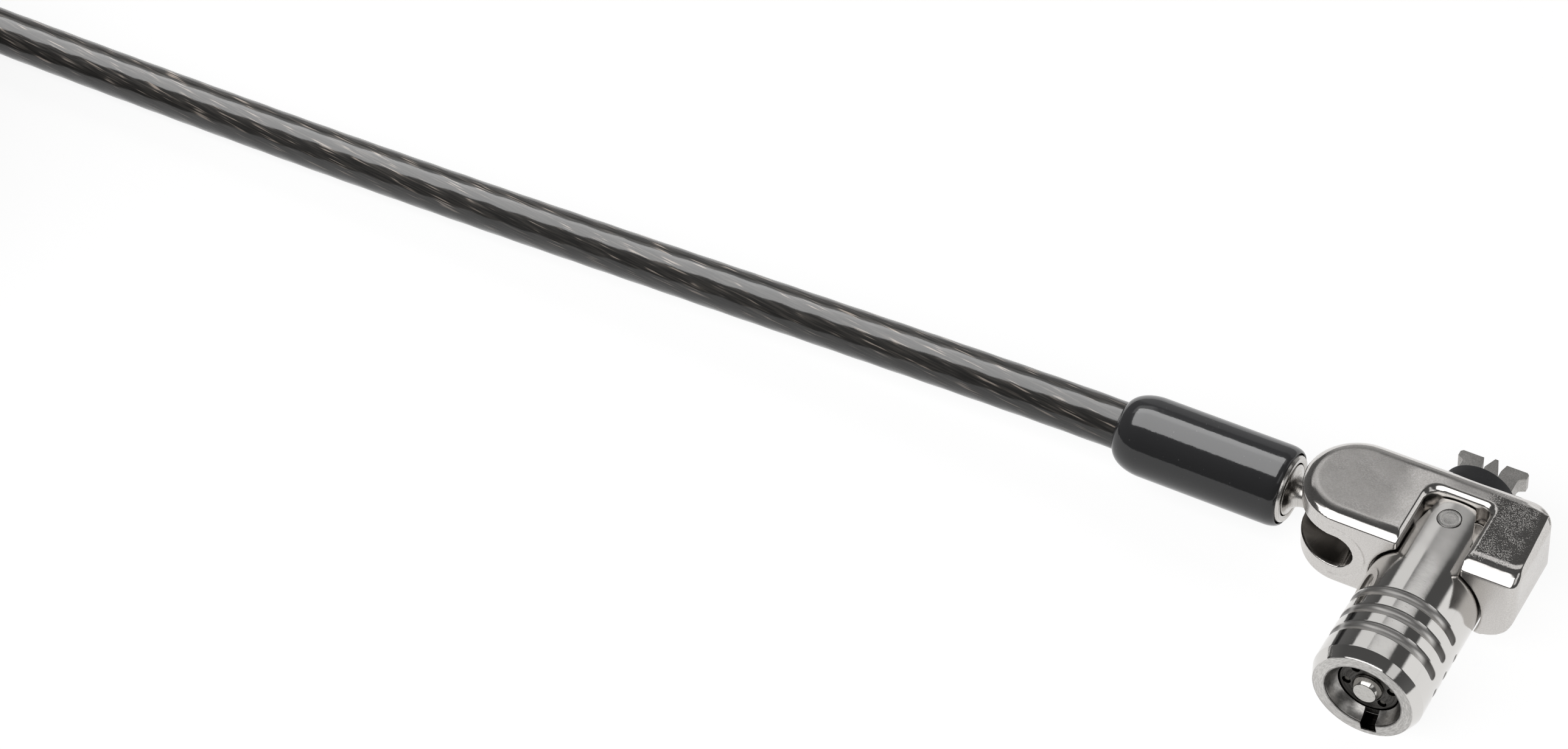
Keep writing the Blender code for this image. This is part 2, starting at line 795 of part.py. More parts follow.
def tumbler_housing():
    seat = PLUG_RADIUS + RUN_GAP
    shaft = SPINDLE_RADIUS + RUN_GAP
    profile = [
        (shaft, HOUSING_BACK),
        (HOUSING_RADIUS, HOUSING_BACK),
        (HOUSING_RADIUS, plug_face()),
        (seat, plug_face()),
        (seat, SHEAR_LINE),
        (shaft, SHEAR_LINE),
    ]
    housing = turned(
        "tumbler_housing", profile, (0, 0, 0), (0, 1, 0), dark_nickel(), SIDES, closed=True
    )
    cut(housing, *chamber_cutters("cut_chamber", SHEAR_LINE - MM, SHEAR_LINE + CHAMBER_DEPTH))
    cut(housing, housing_pin_bore("cut_housing_pin_bore"))
    return housing


def key_plug():
    hole = POST_SHANK_RADIUS + RUN_GAP / 2
    back = SHEAR_LINE - RUN_GAP / 2
    plug = ring("key_plug", hole, PLUG_RADIUS, plug_face(), back, (0, 0, 0), (0, 1, 0), dark_nickel())
    return cut(plug, *chamber_cutters("cut_plug_chamber", plug_face() - MM, SHEAR_LINE + MM))


def center_post():
    front = BARREL_FRONT + POST_RECESS
    face = plug_face() - 0.05 * MM
    profile = [
        (0, face + POST_SHANK_LENGTH),
        (POST_SHANK_RADIUS, face + POST_SHANK_LENGTH),
        (POST_SHANK_RADIUS, face),
        (POST_RADIUS, face),
        (POST_RADIUS, front + POST_CHAMFER),
        (POST_TIP_RADIUS, front),
        (0, front),
    ]
    return turned("center_post", profile, (0, 0, 0), (0, 1, 0), steel())


def tumbler_pins():
    made = []
    for i, (x, z) in enumerate(tumbler_places(), start=1):
        front = plug_face() + TUMBLER_RECESS
        back = SHEAR_LINE - RUN_GAP
        made.append(
            cylinder(f"key_pin_{i}", TUMBLER_RADIUS, (x, front, z), (x, back, z), brass(), PIN_SIDES)
        )
    return made


def driver_pins_and_springs():
    made = []
    start = SHEAR_LINE + RUN_GAP / 2
    stop = start + DRIVER_LENGTH
    spring_start = stop + RUN_GAP + DRIVER_WIRE
    spring_length = SHEAR_LINE + CHAMBER_DEPTH - RUN_GAP - DRIVER_WIRE - spring_start
    for i, (x, z) in enumerate(tumbler_places(), start=1):
        made.append(
            cylinder(f"driver_pin_{i}", TUMBLER_RADIUS, (x, start, z), (x, stop, z), steel(), PIN_SIDES)
        )
        points = spring_points(
            (x, spring_start, z), (0, 1, 0), TUMBLER_RADIUS - 2 * DRIVER_WIRE, spring_length, 4
        )
        made.append(tube(f"driver_spring_{i}", points, DRIVER_WIRE, steel(), resolution=0))
    return made


# --- spindle and spreader ---------------------------------------------------------------------------
def helix_cutter():
    """The spindle's helical groove, which pushes the spreader as the key turns."""
    points = []
    first, last = math.radians(76), math.radians(194)
    steps = 18
    for i in range(steps + 1):
        angle = first + (last - first) * i / steps
        y = FOLLOWER_Y - BLADE_TRAVEL * (angle - math.pi / 2) / KEY_TURN
        points.append((SPINDLE_RADIUS * math.cos(angle), y, SPINDLE_RADIUS * math.sin(angle)))
    return tube("cut_helix", points, FOLLOWER_RADIUS + RUN_GAP)


def drive_spindle():
    start = plug_face() + POST_SHANK_LENGTH + RUN_GAP
    shoulder = SHEAR_LINE + RUN_GAP / 2
    clip = HOUSING_BACK + RUN_GAP
    profile = [
        (0, SPINDLE_BACK),
        (SPINDLE_RADIUS, SPINDLE_BACK),
        (SPINDLE_RADIUS, clip + CLIP_THICKNESS + RUN_GAP / 2),
        (CLIP_GROOVE_RADIUS, clip + CLIP_THICKNESS + RUN_GAP / 2),
        (CLIP_GROOVE_RADIUS, clip - RUN_GAP / 2),
        (SPINDLE_RADIUS, clip - RUN_GAP / 2),
        (SPINDLE_RADIUS, shoulder),
        (POST_SHANK_RADIUS, shoulder),
        (POST_SHANK_RADIUS, start),
        (0, start),
    ]
    spindle = turned("drive_spindle", profile, (0, 0, 0), (0, 1, 0), steel())
    return cut(spindle, helix_cutter())


def open_ring(name, inner, outer, low, high, start, direction, gap):
    """A spring clip: a ring with a gap cut out of one side."""
    clip = ring(name, inner, outer, low, high, start, direction, steel())
    place = along(start, direction)
    mouth = box(f"cut_{name}", (0, -gap / 2, low - MM), (2 * outer, gap / 2, high + MM))
    mouth.matrix_world = place
    return cut(clip, mouth)


def spindle_clip():
    low = HOUSING_BACK + RUN_GAP
    return open_ring(
        "spindle_clip",
        CLIP_GROOVE_RADIUS + RUN_GAP / 2,
        CLIP_RADIUS,
        low,
        low + CLIP_THICKNESS,
        (0, 0, 0),
        (0, 1, 0),
        1.2 * MM,
    )


def spreader_blade():
    half, tip = BLADE_HALF_WIDTH, BLADE_TIP_HALF_WIDTH
    shoulder = BLADE_TIP - BLADE_TIP_LENGTH
    back = SPINDLE_BACK + BLADE_TRAVEL + RUN_GAP
    outline = [(-half, back), (half, back), (half, shoulder), (tip, BLADE_TIP), (-tip, BLADE_TIP), (-half, shoulder)]
    low, high = HOOK_LEVEL - BLADE_HALF_HEIGHT, HOOK_LEVEL + BLADE_HALF_HEIGHT
    blade = plate("spreader_blade", outline, low, high, sintered())
    carrier_low = high - CARRIER_THICKNESS
    carrier = box(
        "carrier_form",
        (-CARRIER_HALF_WIDTH, CARRIER_FRONT, carrier_low),
        (CARRIER_HALF_WIDTH, CARRIER_BACK, high),
    )
    neck = box(
        "carrier_neck_form",
        (-0.8 * BLADE_HALF_WIDTH, CARRIER_BACK - MM, carrier_low + 0.05 * MM),
        (0.8 * BLADE_HALF_WIDTH, back + MM, high - 0.05 * MM),
    )
    follower = cylinder(
        "follower_form",
        FOLLOWER_RADIUS,
        (0, FOLLOWER_Y, SPINDLE_RADIUS - FOLLOWER_REACH + RUN_GAP),
        (0, FOLLOWER_Y, high - 0.1 * MM),
        sides=PIN_SIDES,
    )
    return fuse(blade, carrier, neck, follower)


# --- hooks ------------------------------------------------------------------------------------------
def hook_outline(side):
    lip = SHANK_OUTER + LIP_REACH
    points = [
        (SHANK_INNER, HOOK_PIVOT_Y),
        (SHANK_OUTER, HOOK_PIVOT_Y),
        (SHANK_OUTER, LIP_START),
        (lip, LIP_START + LIP_SLOPE),
        (lip, HOOK_END - LIP_CORNER),
        (lip - LIP_CORNER, HOOK_END),
        (SHANK_INNER + LIP_CORNER, HOOK_END),
        (SHANK_INNER, HOOK_END - 4 * LIP_CORNER),
    ]
    if side > 0:
        return points
    return [(-x, y) for x, y in reversed(points)]


def hook(name, side):
    low, high = HOOK_LEVEL - HOOK_HALF_HEIGHT, HOOK_LEVEL + HOOK_HALF_HEIGHT
    jaw = plate(name, hook_outline(side), low, high, sintered())
    x = side * HOOK_PIVOT_X
    floor = HEAD_BOTTOM + COVER_THICKNESS + RUN_GAP
    hub = cylinder(
        f"hub_form_{side}",
        HUB_RADIUS,
        (x, HOOK_PIVOT_Y, floor),
        (x, HOOK_PIVOT_Y, CAVITY_TOP - RUN_GAP),
        sides=SMALL_SIDES,
    )
    bore = cylinder(
        f"cut_hub_{side}",
        HOOK_PIN_RADIUS + RUN_GAP / 2,
        (x, HOOK_PIVOT_Y, 2 * HEAD_BOTTOM),
        (x, HOOK_PIVOT_Y, HEAD_TOP),
        sides=PIN_SIDES,
    )
    fuse(jaw, hub)
    return cut(jaw, bore)


def hook_pin(name, side):
    x = side * HOOK_PIVOT_X
    floor = HEAD_BOTTOM + COVER_THICKNESS + RUN_GAP
    top = CAVITY_TOP + HOOK_PIN_SEAT - RUN_GAP
    return cylinder(
        name, HOOK_PIN_RADIUS, (x, HOOK_PIVOT_Y, floor), (x, HOOK_PIVOT_Y, top), steel(), PIN_SIDES
    )


def hook_spring(name, side):
    inner = HOOK_PIVOT_X + HUB_RADIUS + 0.12 * MM
    length = CAVITY_HALF_WIDTH - RUN_GAP - SPRING_WIRE - inner
    points = spring_points(
        (side * inner, SPRING_Y, HOOK_LEVEL), (side, 0, 0), SPRING_RADIUS, length, 3
    )
    return tube(name, points, SPRING_WIRE, steel(), resolution=0)


def bumper_pad():
    seat = END_RADIUS + RUN_GAP
    profile = [
        (0, PAD_FACE),
        (PAD_RADIUS - PAD_EDGE, PAD_FACE),
        (PAD_RADIUS, PAD_FACE - PAD_EDGE),
        (PAD_RADIUS, seat),
        (0, seat),
    ]
    pad = turned("bumper_pad", profile, (0, 0, HOOK_LEVEL), (0, 1, 0), rubber())
    return smooth(cut(pad, hook_window("cut_pad_window", PAD_WINDOW_HALF_WIDTH, 0, 2 * PAD_FACE)))


# --- cable end --------------------------------------------------------------------------------------
def pivot_pin():
    top = HOOK_LEVEL + CABLE_SLOT_RADIUS + PIVOT_PIN_SEAT
    return cylinder(
        "pivot_pin", PIVOT_PIN_RADIUS, (PIVOT_X, 0, HEAD_BOTTOM), (PIVOT_X, 0, top), steel(), SMALL_SIDES
    )


def swivel_stud():
    """A ball on the pivot pin, a waisted neck, and a round head that turns in the ferrule."""
    waist = PIVOT_X - NECK_WAIST
    shoulder = PIVOT_X - STUD_SHOULDER
    end = shoulder + STUD_LENGTH
    clip = PIVOT_X - STUD_CLIP_X
    groove = STUD_RADIUS - 0.35 * MM
    half = CLIP_THICKNESS / 2 + RUN_GAP / 2
    flare_radius = STUD_RADIUS - NECK_RADIUS
    flare = [
        (NECK_RADIUS + flare_radius * (1 - math.cos(a)), waist + (shoulder - waist) * math.sin(a))
        for a in (math.radians(d) for d in (90, 70, 50, 30, 0))
    ]
    meet = math.asin(NECK_RADIUS / BALL_RADIUS)
    ball = [
        (BALL_RADIUS * math.sin(a), BALL_RADIUS * math.cos(a))
        for a in (meet + (math.pi - meet) * i / 9 for i in range(10))
    ]
    ball[-1] = (0, -BALL_RADIUS)
    profile = (
        [(0, end), (STUD_RADIUS, end)]
        + [(STUD_RADIUS, clip + half), (groove, clip + half)]
        + [(groove, clip - half), (STUD_RADIUS, clip - half)]
        + flare
        + ball
    )
    stud = turned("swivel_stud", profile, (PIVOT_X, 0, HOOK_LEVEL), (-1, 0, 0), steel())
    reach = 2 * BALL_RADIUS
    bore = cylinder(
        "cut_stud_bore",
        PIVOT_PIN_RADIUS + RUN_GAP,
        (PIVOT_X, 0, HOOK_LEVEL - reach),
        (PIVOT_X, 0, HOOK_LEVEL + reach),
        sides=SMALL_SIDES,
    )
    return smooth(cut(stud, bore))


def swivel_ring():
    half = CLIP_THICKNESS / 2
    middle = PIVOT_X - STUD_CLIP_X
    return open_ring(
        "swivel_ring",
        STUD_RADIUS - 0.35 * MM + RUN_GAP / 2,
        STUD_RADIUS + 0.35 * MM,
        middle - half,
        middle + half,
        (PIVOT_X, 0, HOOK_LEVEL),
        (-1, 0, 0),
        1.6 * MM,
    )


def crimp_ferrule():
    """A steel sleeve: the stud's head turns in its front, and the cable is crimped in its back."""
    front = PIVOT_X - FERRULE_FACE
    mouth = STUD_RADIUS + RUN_GAP
    clip = PIVOT_X - STUD_CLIP_X
    half = CLIP_THICKNESS / 2 + RUN_GAP / 2
    groove = STUD_RADIUS + 0.35 * MM + RUN_GAP / 2
    wall = PIVOT_X - FERRULE_WALL
    socket = PIVOT_X - FERRULE_SOCKET
    back = PIVOT_X - FERRULE_BACK
    bore = CABLE_RADIUS + RUN_GAP
    profile = [
        (bore, back),
        (FERRULE_RADIUS, back),
        (FERRULE_RADIUS, front),
        (mouth, front),
        (mouth, clip - half),
        (groove, clip - half),
        (groove, clip + half),
        (mouth, clip + half),
        (mouth, wall),
        (0.6 * MM, wall),
        (0.6 * MM, socket),
        (bore, socket),
    ]
    return turned(
        "crimp_ferrule", profile, (PIVOT_X, 0, HOOK_LEVEL), (-1, 0, 0), steel(), closed=True
    )


def cable_boot():
    """The black sleeve over the ferrule, with a round shoulder where the cable comes out."""
    front, back = PIVOT_X - BOOT_FACE, PIVOT_X - BOOT_BACK
    step = PIVOT_X - BOOT_STEP
    inner, throat = FERRULE_RADIUS + RUN_GAP, CABLE_RADIUS + RUN_GAP
    shoulder = [
        (
            BOOT_RADIUS - BOOT_SHOULDER * (1 - math.sin(a)),
            back - BOOT_SHOULDER * (1 - math.cos(a)),
        )
        for a in (math.radians(d) for d in (15, 35, 55, 75, 90))
    ]
    rim = [(BOOT_RADIUS, front + BOOT_EDGE), (BOOT_RADIUS - BOOT_EDGE, front)]
    profile = [(throat, back - 0.05 * MM), *shoulder, *rim, (inner, front), (inner, step), (throat, step)]
    return turned(
        "cable_boot", profile, (PIVOT_X, 0, HOOK_LEVEL), (-1, 0, 0), boot_plastic(), closed=True
    )


# --- cable ------------------------------------------------------------------------------------------
def table_height():
    """The table's height in lock coordinates: the barrel lies on it."""
    return -BARREL_RADIUS


def coil_centre():
    return Vector((COIL_X, -COIL_OUTER, table_height()))


def coil_radius(turn):
    """The coil's radius after a number of turns: in, out, in and out again at a steady rate."""
    layer_turns = COIL_TURNS / COIL_LAYERS
    layer = min(int(turn / layer_turns), COIL_LAYERS - 1)
    share = turn / layer_turns - layer
    if layer % 2:
        share = 1 - share
    return COIL_OUTER + (COIL_INNER - COIL_OUTER) * share


def coil_height(turn):
    """The height of the cable's middle: one layer up in the half turn at each reversal."""
    layer_turns = COIL_TURNS / COIL_LAYERS
    height = COIL_LIFT + CABLE_RADIUS
    for layer in range(1, COIL_LAYERS):
        share = (turn - layer * layer_turns) / 0.5 + 0.5
        height += COIL_LAYER_PITCH * min(max(share, 0.0), 1.0)
    last = (turn - (COIL_TURNS - 0.25)) / 0.25
    return height + TAIL_CLIMB * min(max(last, 0.0), 1.0)


def coil_points():
    """The coil's middle line, straight for one diameter at both ends."""
    centre = coil_centre()
    total = int(COIL_TURNS * LOOP_POINTS)
    points = []
    for i in range(total + 1):
        turn = i / LOOP_POINTS
        angle = COIL_START + 2 * math.pi * turn
        radius = coil_radius(turn)
        spot = Vector((radius * math.cos(angle), radius * math.sin(angle), coil_height(turn)))
        points.append(centre + spot)
    lead_in = points[0] + Vector((CABLE_DIAMETER, 0, 0))
    heading = COIL_START + 2 * math.pi * COIL_TURNS + math.pi / 2
    lead_out = points[-1] + CABLE_DIAMETER * Vector((math.cos(heading), math.sin(heading), 0))
    return [lead_in, *points, lead_out]


def least_gap(points, apart):
    """The least free space between stretches of a cord that lie at least apart points from each other."""
    best = math.inf
    for i, a in enumerate(points):
        for j in range(i + apart, len(points) - 1):
            b, c = points[j], points[j + 1]
            along_edge = c - b
            share = min(max((a - b).dot(along_edge) / along_edge.length_squared, 0.0), 1.0)
            best = min(best, (a - b - along_edge * share).length)
    return best - CABLE_DIAMETER


def cable_coil():
    points = coil_points()
    gap = least_gap(points, LOOP_POINTS // 2)
    print(f"cable_coil: least gap to itself {gap / MM:.2f} mm")
    return tube("cable_coil", points, CABLE_RADIUS, cable_jacket(), resolution=1)


def cable_run():
    meet = coil_points()[0] + Vector((CORD_GAP, 0, 0))
    fall = HOOK_LEVEL - meet.z
    knots = [Vector((x * MM, 0, meet.z + share * fall)) for x, share in CABLE_ROUTE]
    knots += [meet + Vector((2 * CABLE_DIAMETER, 0, 0)), meet]
    points = smooth_route(knots, 2.5 * CABLE_DIAMETER)
    return tube("cable_run", points, CABLE_RADIUS, cable_jacket())


def tail_points():
    """From the coil's end the cable turns in over the coil's top, towards its end loop."""
    coil = coil_points()
    start, heading = coil[-1], (coil[-1] - coil[-2]).normalized()
    heading.z = 0
    heading.normalize()
    side = Vector((-heading.y, heading.x, 0))
    first = start + heading * CORD_GAP
    bend = first + heading * CABLE_DIAMETER
    centre = bend + side * TAIL_RADIUS
    steps = 8
    points = [first, bend]
    for i in range(1, steps + 1):
        angle = TAIL_TURN * i / steps
        points.append(centre + TAIL_RADIUS * (heading * math.sin(angle) - side * math.cos(angle)))
    final = heading * math.cos(TAIL_TURN) + side * math.sin(TAIL_TURN)
    return points, final


def cable_tail():
    points, final = tail_points()
    end = points[-1] + final * (SLEEVE_LENGTH / 2 - CORD_GAP)
    return tube("cable_tail", [*points, end], CABLE_RADIUS, cable_jacket())


def eye_frame():
    """Origin at the middle of the crimp sleeve, local X towards the end loop."""
    points, final = tail_points()
    middle = points[-1] + final * (SLEEVE_LENGTH / 2)
    left = Vector((-final.y, final.x, 0))
    place = Matrix((final, left, (0, 0, 1))).transposed().to_4x4()
    return Matrix.Translation(middle) @ place


def end_loop():
    """The cable's end, turned back on itself: both strands meet in the crimp sleeve."""
    place = eye_frame()
    tip = SLEEVE_LENGTH / 2 + EYE_LENGTH - EYE_RADIUS
    second = -(CABLE_DIAMETER + STRAND_GAP)
    mid = second / 2
    bow = arc((tip, mid), EYE_RADIUS, math.radians(100), math.radians(-100), 14)
    exit_x = SLEEVE_LENGTH / 2 + CABLE_DIAMETER
    knots = [(0.3 * MM, 0.0), (exit_x, 0.0), *bow, (exit_x, second), (-0.4 * SLEEVE_LENGTH, second)]
    route = smooth_route([Vector((x, y, 0)) for x, y in knots], 1.2 * CABLE_DIAMETER)
    return tube("end_loop", [place @ p for p in route], CABLE_RADIUS, cable_jacket(), resolution=1)


def loop_sleeve():
    """An oval crimp around both strands."""
    place = eye_frame()
    bore = CABLE_RADIUS + RUN_GAP
    pitch = CABLE_DIAMETER + STRAND_GAP

    def oval(radius):
        upper = arc((0, 0), radius, 0, math.pi, 8)
        lower = arc((0, -pitch), radius, math.pi, 2 * math.pi, 8)
        return upper + lower

    stand = place @ Matrix.Rotation(math.pi / 2, 4, "Y")
    half = SLEEVE_LENGTH / 2
    sleeve = plate("loop_sleeve", oval(bore + SLEEVE_WALL), -half, half, steel(), stand)
    return cut(sleeve, plate("cut_sleeve", oval(bore), -half - MM, half + MM, place=stand))


def cable_tie():
    """A flat strap around the whole bundle."""
    low = TIE_FLOOR
    high = COIL_LIFT + (COIL_LAYERS - 1) * COIL_LAYER_PITCH + CABLE_DIAMETER
    high += TIE_CLEARANCE + TIE_THICKNESS
    inner = COIL_INNER - CABLE_RADIUS - TIE_CLEARANCE
    outer = COIL_OUTER + CABLE_RADIUS + TIE_CLEARANCE
    turn = Matrix.Rotation(TIE_ANGLE, 4, "Z")
    place = Matrix.Translation(coil_centre()) @ turn @ Matrix.Rotation(math.pi / 2, 4, "X")
    corner = 1.5 * MM

    def band(grow):
        left, right = inner - grow, outer + grow
        floor, top = low + TIE_THICKNESS - grow, high - TIE_THICKNESS + grow
        radius = corner + grow
        half_pi = math.pi / 2
        return (
            arc((right - radius, floor + radius), radius, -half_pi, 0, 3)
            + arc((right - radius, top - radius), radius, 0, half_pi, 3)
            + arc((left + radius, top - radius), radius, half_pi, 2 * half_pi, 3)
            + arc((left + radius, floor + radius), radius, 2 * half_pi, 3 * half_pi, 3)
        )

    half = TIE_WIDTH / 2
    tie = plate("cable_tie", band(TIE_THICKNESS), -half, half, tie_plastic(), place)
    return cut(tie, plate("cut_tie", band(0.0), -half - MM, half + MM, place=place))


# --- assembly ---------------------------------------------------------------------------------------
def pivot_empty(name, spot, pieces):
    """An empty on a joint's axis that carries the pieces that move about it."""
    empty = bpy.data.objects.new(name, None)
    empty.location = spot
    bpy.context.scene.collection.objects.link(empty)
    bpy.context.view_layer.update()
    for piece in pieces:
        piece.parent = empty
        piece.matrix_parent_inverse = empty.matrix_world.inverted()
    return empty


def place_model():
    """Hang everything on one empty that stands the lock on z = 0, centred over the origin."""
    middle_x = (BOOT_BACK + BLOCK_RIGHT) / 2
    middle_y = (BARREL_FRONT + BLADE_TIP) / 2
    origin = bpy.data.objects.new("lock_origin", None)
    bpy.context.scene.collection.objects.link(origin)
    for obj in list(bpy.data.objects):
        if obj.parent is None and obj is not origin:
            obj.parent = origin
    origin.location = (-middle_x, -middle_y, -table_height())
    bpy.context.view_layer.update()


def build():
    clear_scene()
    lock_body()
    mechanism_cover()
    cover_screw("cover_screw_left", -1)
    cover_screw("cover_screw_right", 1)
    barrel_sleeve()
    barrel_pin()
    housing_pin()
    tumbler_housing()
    driver_pins_and_springs()
    hook_pin("hook_pin_left", -1)
    hook_pin("hook_pin_right", 1)
    hook_spring("hook_spring_left", -1)
    hook_spring("hook_spring_right", 1)
    bumper_pad()
    pivot_pin()
    turning = [key_plug(), center_post(), drive_spindle(), spindle_clip(), *tumbler_pins()]
    pivot_empty("key_axis", (0, plug_face(), 0), turning)
    pivot_empty("blade_slide", (0, CARRIER_FRONT, HOOK_LEVEL), [spreader_blade()])
    pivot_empty("left_hook_axis", (-HOOK_PIVOT_X, HOOK_PIVOT_Y, HOOK_LEVEL), [hook("left_hook", -1)])
    pivot_empty("right_hook_axis", (HOOK_PIVOT_X, HOOK_PIVOT_Y, HOOK_LEVEL), [hook("right_hook", 1)])
    cable = [crimp_ferrule(), swivel_ring(), cable_boot(), cable_run(), cable_coil()]
    cable += [cable_tie(), cable_tail(), end_loop(), loop_sleeve()]
    swivel = pivot_empty("cable_swivel_axis", (STUD_SHOULDER, 0, HOOK_LEVEL), cable)
    pivot_empty("cable_pivot_axis", (PIVOT_X, 0, HOOK_LEVEL), [swivel_stud(), swivel])
    place_model()


build()
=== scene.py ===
"""Looks for the laptop cable lock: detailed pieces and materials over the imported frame.

Pieces are made in lock coordinates in millimetres: the barrel's axis is Y with the key side at -Y,
the top plate faces +Z and the cable leaves towards -X. settle() turns them into metres and puts
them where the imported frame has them.
"""

import math

import bmesh
import bpy
import numpy as np
from mathutils import Matrix, Vector


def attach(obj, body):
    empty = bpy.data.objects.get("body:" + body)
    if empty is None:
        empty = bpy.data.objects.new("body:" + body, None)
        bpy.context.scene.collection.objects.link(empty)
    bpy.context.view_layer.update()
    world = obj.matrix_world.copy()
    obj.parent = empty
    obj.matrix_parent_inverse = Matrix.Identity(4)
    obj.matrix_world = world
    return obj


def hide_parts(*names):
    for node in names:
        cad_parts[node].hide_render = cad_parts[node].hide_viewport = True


MM = 0.001
QUARTER = math.pi / 2
UPRIGHT = Matrix.Rotation(QUARTER, 4, "X")
PLACE = Vector((11.275, 3.325, 5.0)) * MM  # the lock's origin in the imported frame
TABLE = -5.0
LEVEL = 1.25  # height of the hooks, the swivel and the cable
GAP = 0.15

HEAD_TOP = 5.8
HEAD_BOTTOM = -3.0
END_X = -8.3
END_RADIUS = 4.75
BLOCK_RIGHT = 8.05
BLOCK_ROUND = 3.5
BLOCK_BOTTOM = -2.35
PIVOT_X = -8.55
PIVOT = (PIVOT_X, 0, LEVEL)
PIVOT_BORE = 0.95
SLOT_HALF = 1.9
WINDOW_HALF = 0.95
SCREW_X = 4.35
SCREW_Y = 1.2
HOOK_X = 1.9
HOOK_Y = 2.55

BARREL_R = 5.0
BARREL_FRONT = -17.0
BARREL_BACK = -1.55
GROOVES = [-9.4 - 2.05 * i for i in range(3)]
KEYWAY_R = 3.4
PLUG_FACE = -15.7
TUMBLERS = 6
TUMBLER_CIRCLE = 2.04

# Distances from the pivot along the swivel's axis
RING_FRONT = 7.025
RING_BACK = 7.475
BOOT_FRONT = 6.05
BOOT_BACK = 22.05
BOOT_R = 3.65

CABLE_D = 4.4
CABLE_R = CABLE_D / 2
STRAND_LAY = 23.6
STRAND_COUNT = 6
WIRE_LAY = 110.0
COIL_OUTER = 32.0
COIL_INNER = 20.0
COIL_X = -180.0
COIL_LAYERS = 4
COIL_PITCH = 4.95
COIL_TURNS = 9.0 + 7.0 / 12.0
TAIL_RISE = 5.7
TAIL_TURN = 17.4
CRIMP_HALF = 6.0
CRIMP_LAP = CRIMP_HALF - 0.3  # the cable's length inside the crimp
EYE_LENGTH = 32.0
EYE_R = 8.5
EYE_PITCH = CABLE_D + 0.5
TIE_FLOOR = 0.05
TIE_THICK = 0.6
TIE_TOOTH = 0.8
COIL_LIFT = TIE_FLOOR + TIE_THICK + GAP
COIL_ROOM = 0.3
SEEN_LENGTH = 165.0
SEEN_STEP = 0.45
HIDDEN_STEP = 1.6
# The seen cable: x, and its share of the rise from the coil to the swivel
CABLE_ROUTE = [(-18.55, 1.0), (-33.0, 1.0), (-46.0, 0.892), (-60.0, 0.723), (-77.0, 0.508)]
CABLE_ROUTE += [(-97.0, 0.262), (-118.0, 0.077), (-140.0, 0.0), (-160.0, 0.0)]


# --- mesh tools ---
def show(obj):
    bpy.context.scene.collection.objects.link(obj)
    return obj


def mesh_object(name, points, faces, coords=None):
    """A mesh with its faces turned outwards; coords holds a UV pair for each face corner."""
    data = bpy.data.meshes.new(name)
    data.from_pydata([tuple(p) for p in points], [], faces)
    if coords is not None:
        layer = data.uv_layers.new(name="UVMap")
        layer.data.foreach_set("uv", np.array(coords, np.float32).ravel())
    bm = bmesh.new()
    bm.from_mesh(data)
    bmesh.ops.recalc_face_normals(bm, faces=bm.faces)
    bm.to_mesh(data)
    bm.free()
    return show(bpy.data.objects.new(name, data))


def arc(centre, radius, first, last, steps):
    x, y = centre
    angles = [first + (last - first) * i / steps for i in range(steps + 1)]
    return [(x + radius * math.cos(a), y + radius * math.sin(a)) for a in angles]


def quads(rows, sides):
    """Faces between rings of points, one ring after another."""
    faces = []
    for a in range(0, (rows - 1) * sides, sides):
        b = a + sides
        for i in range(sides):
            j = (i + 1) % sides
            faces.append((a + i, a + j, b + j, b + i))
    return faces


def radians(*values):
    return [math.radians(v) for v in values]


def along(start, direction):
    """The matrix that puts local Z along direction, with its origin at start."""
    turn = Vector(direction).to_track_quat("Z", "Y").to_matrix().to_4x4()
    return Matrix.Translation(start) @ turn


def prism(name, outline, low, high, place=None):
    """A closed outline in local XY, thick along local Z."""
    place = place or Matrix.Identity(4)
    count = len(outline)
    points = [place @ Vector((x, y, z)) for z in (low, high) for x, y in outline]
    ends = [list(range(count))[::-1], list(range(count, 2 * count))]
    return mesh_object(name, points, ends + quads(2, count))


def loft(name, sections):
    """A solid through outlines of equal point counts, each given as (outline, height)."""
    count = len(sections[0][0])
    points = [(x, y, z) for outline, z in sections for x, y in outline]
    ends = [list(range(count))[::-1], [len(points) - count + i for i in range(count)]]
    return mesh_object(name, points, ends + quads(len(sections), count))


def box(name, low, high):
    (x0, y0, z0), (x1, y1, z1) = low, high
    return prism(name, [(x0, y0), (x1, y0), (x1, y1), (x0, y1)], z0, z1)


def lathe(name, profile, start, direction, sides=96, closed=False):
    """A turned shape. The profile holds (radius, distance along direction); zero is a pole."""
    place = along(start, direction)
    points, rings, faces = [], [], []
    for radius, height in profile:
        if radius < 1e-9:
            rings.append([len(points)] * sides)
            points.append(place @ Vector((0, 0, height)))
            continue
        rings.append(list(range(len(points), len(points) + sides)))
        for i in range(sides):
            a = 2 * math.pi * i / sides
            points.append(place @ Vector((radius * math.cos(a), radius * math.sin(a), height)))
    for one, two in zip(rings, rings[1:] + rings[: int(closed)]):
        for i in range(sides):
            j = (i + 1) % sides
            corners = list(dict.fromkeys((one[i], one[j], two[j], two[i])))
            if len(corners) > 2:
                faces.append(corners)
    return mesh_object(name, points, faces)


def bar(name, radius, start, end, sides=48):
    start, end = Vector(start), Vector(end)
    length = (end - start).length
    profile = [(0, 0), (radius, 0), (radius, length), (0, length)]
    return lathe(name, profile, start, end - start, sides)


def apply(obj):
    """Turn an object's modifiers into its mesh."""
    bpy.context.view_layer.update()
    graph = bpy.context.evaluated_depsgraph_get()
    data = bpy.data.meshes.new_from_object(obj.evaluated_get(graph))
    obj.modifiers.clear()
    obj.data = data
    return obj


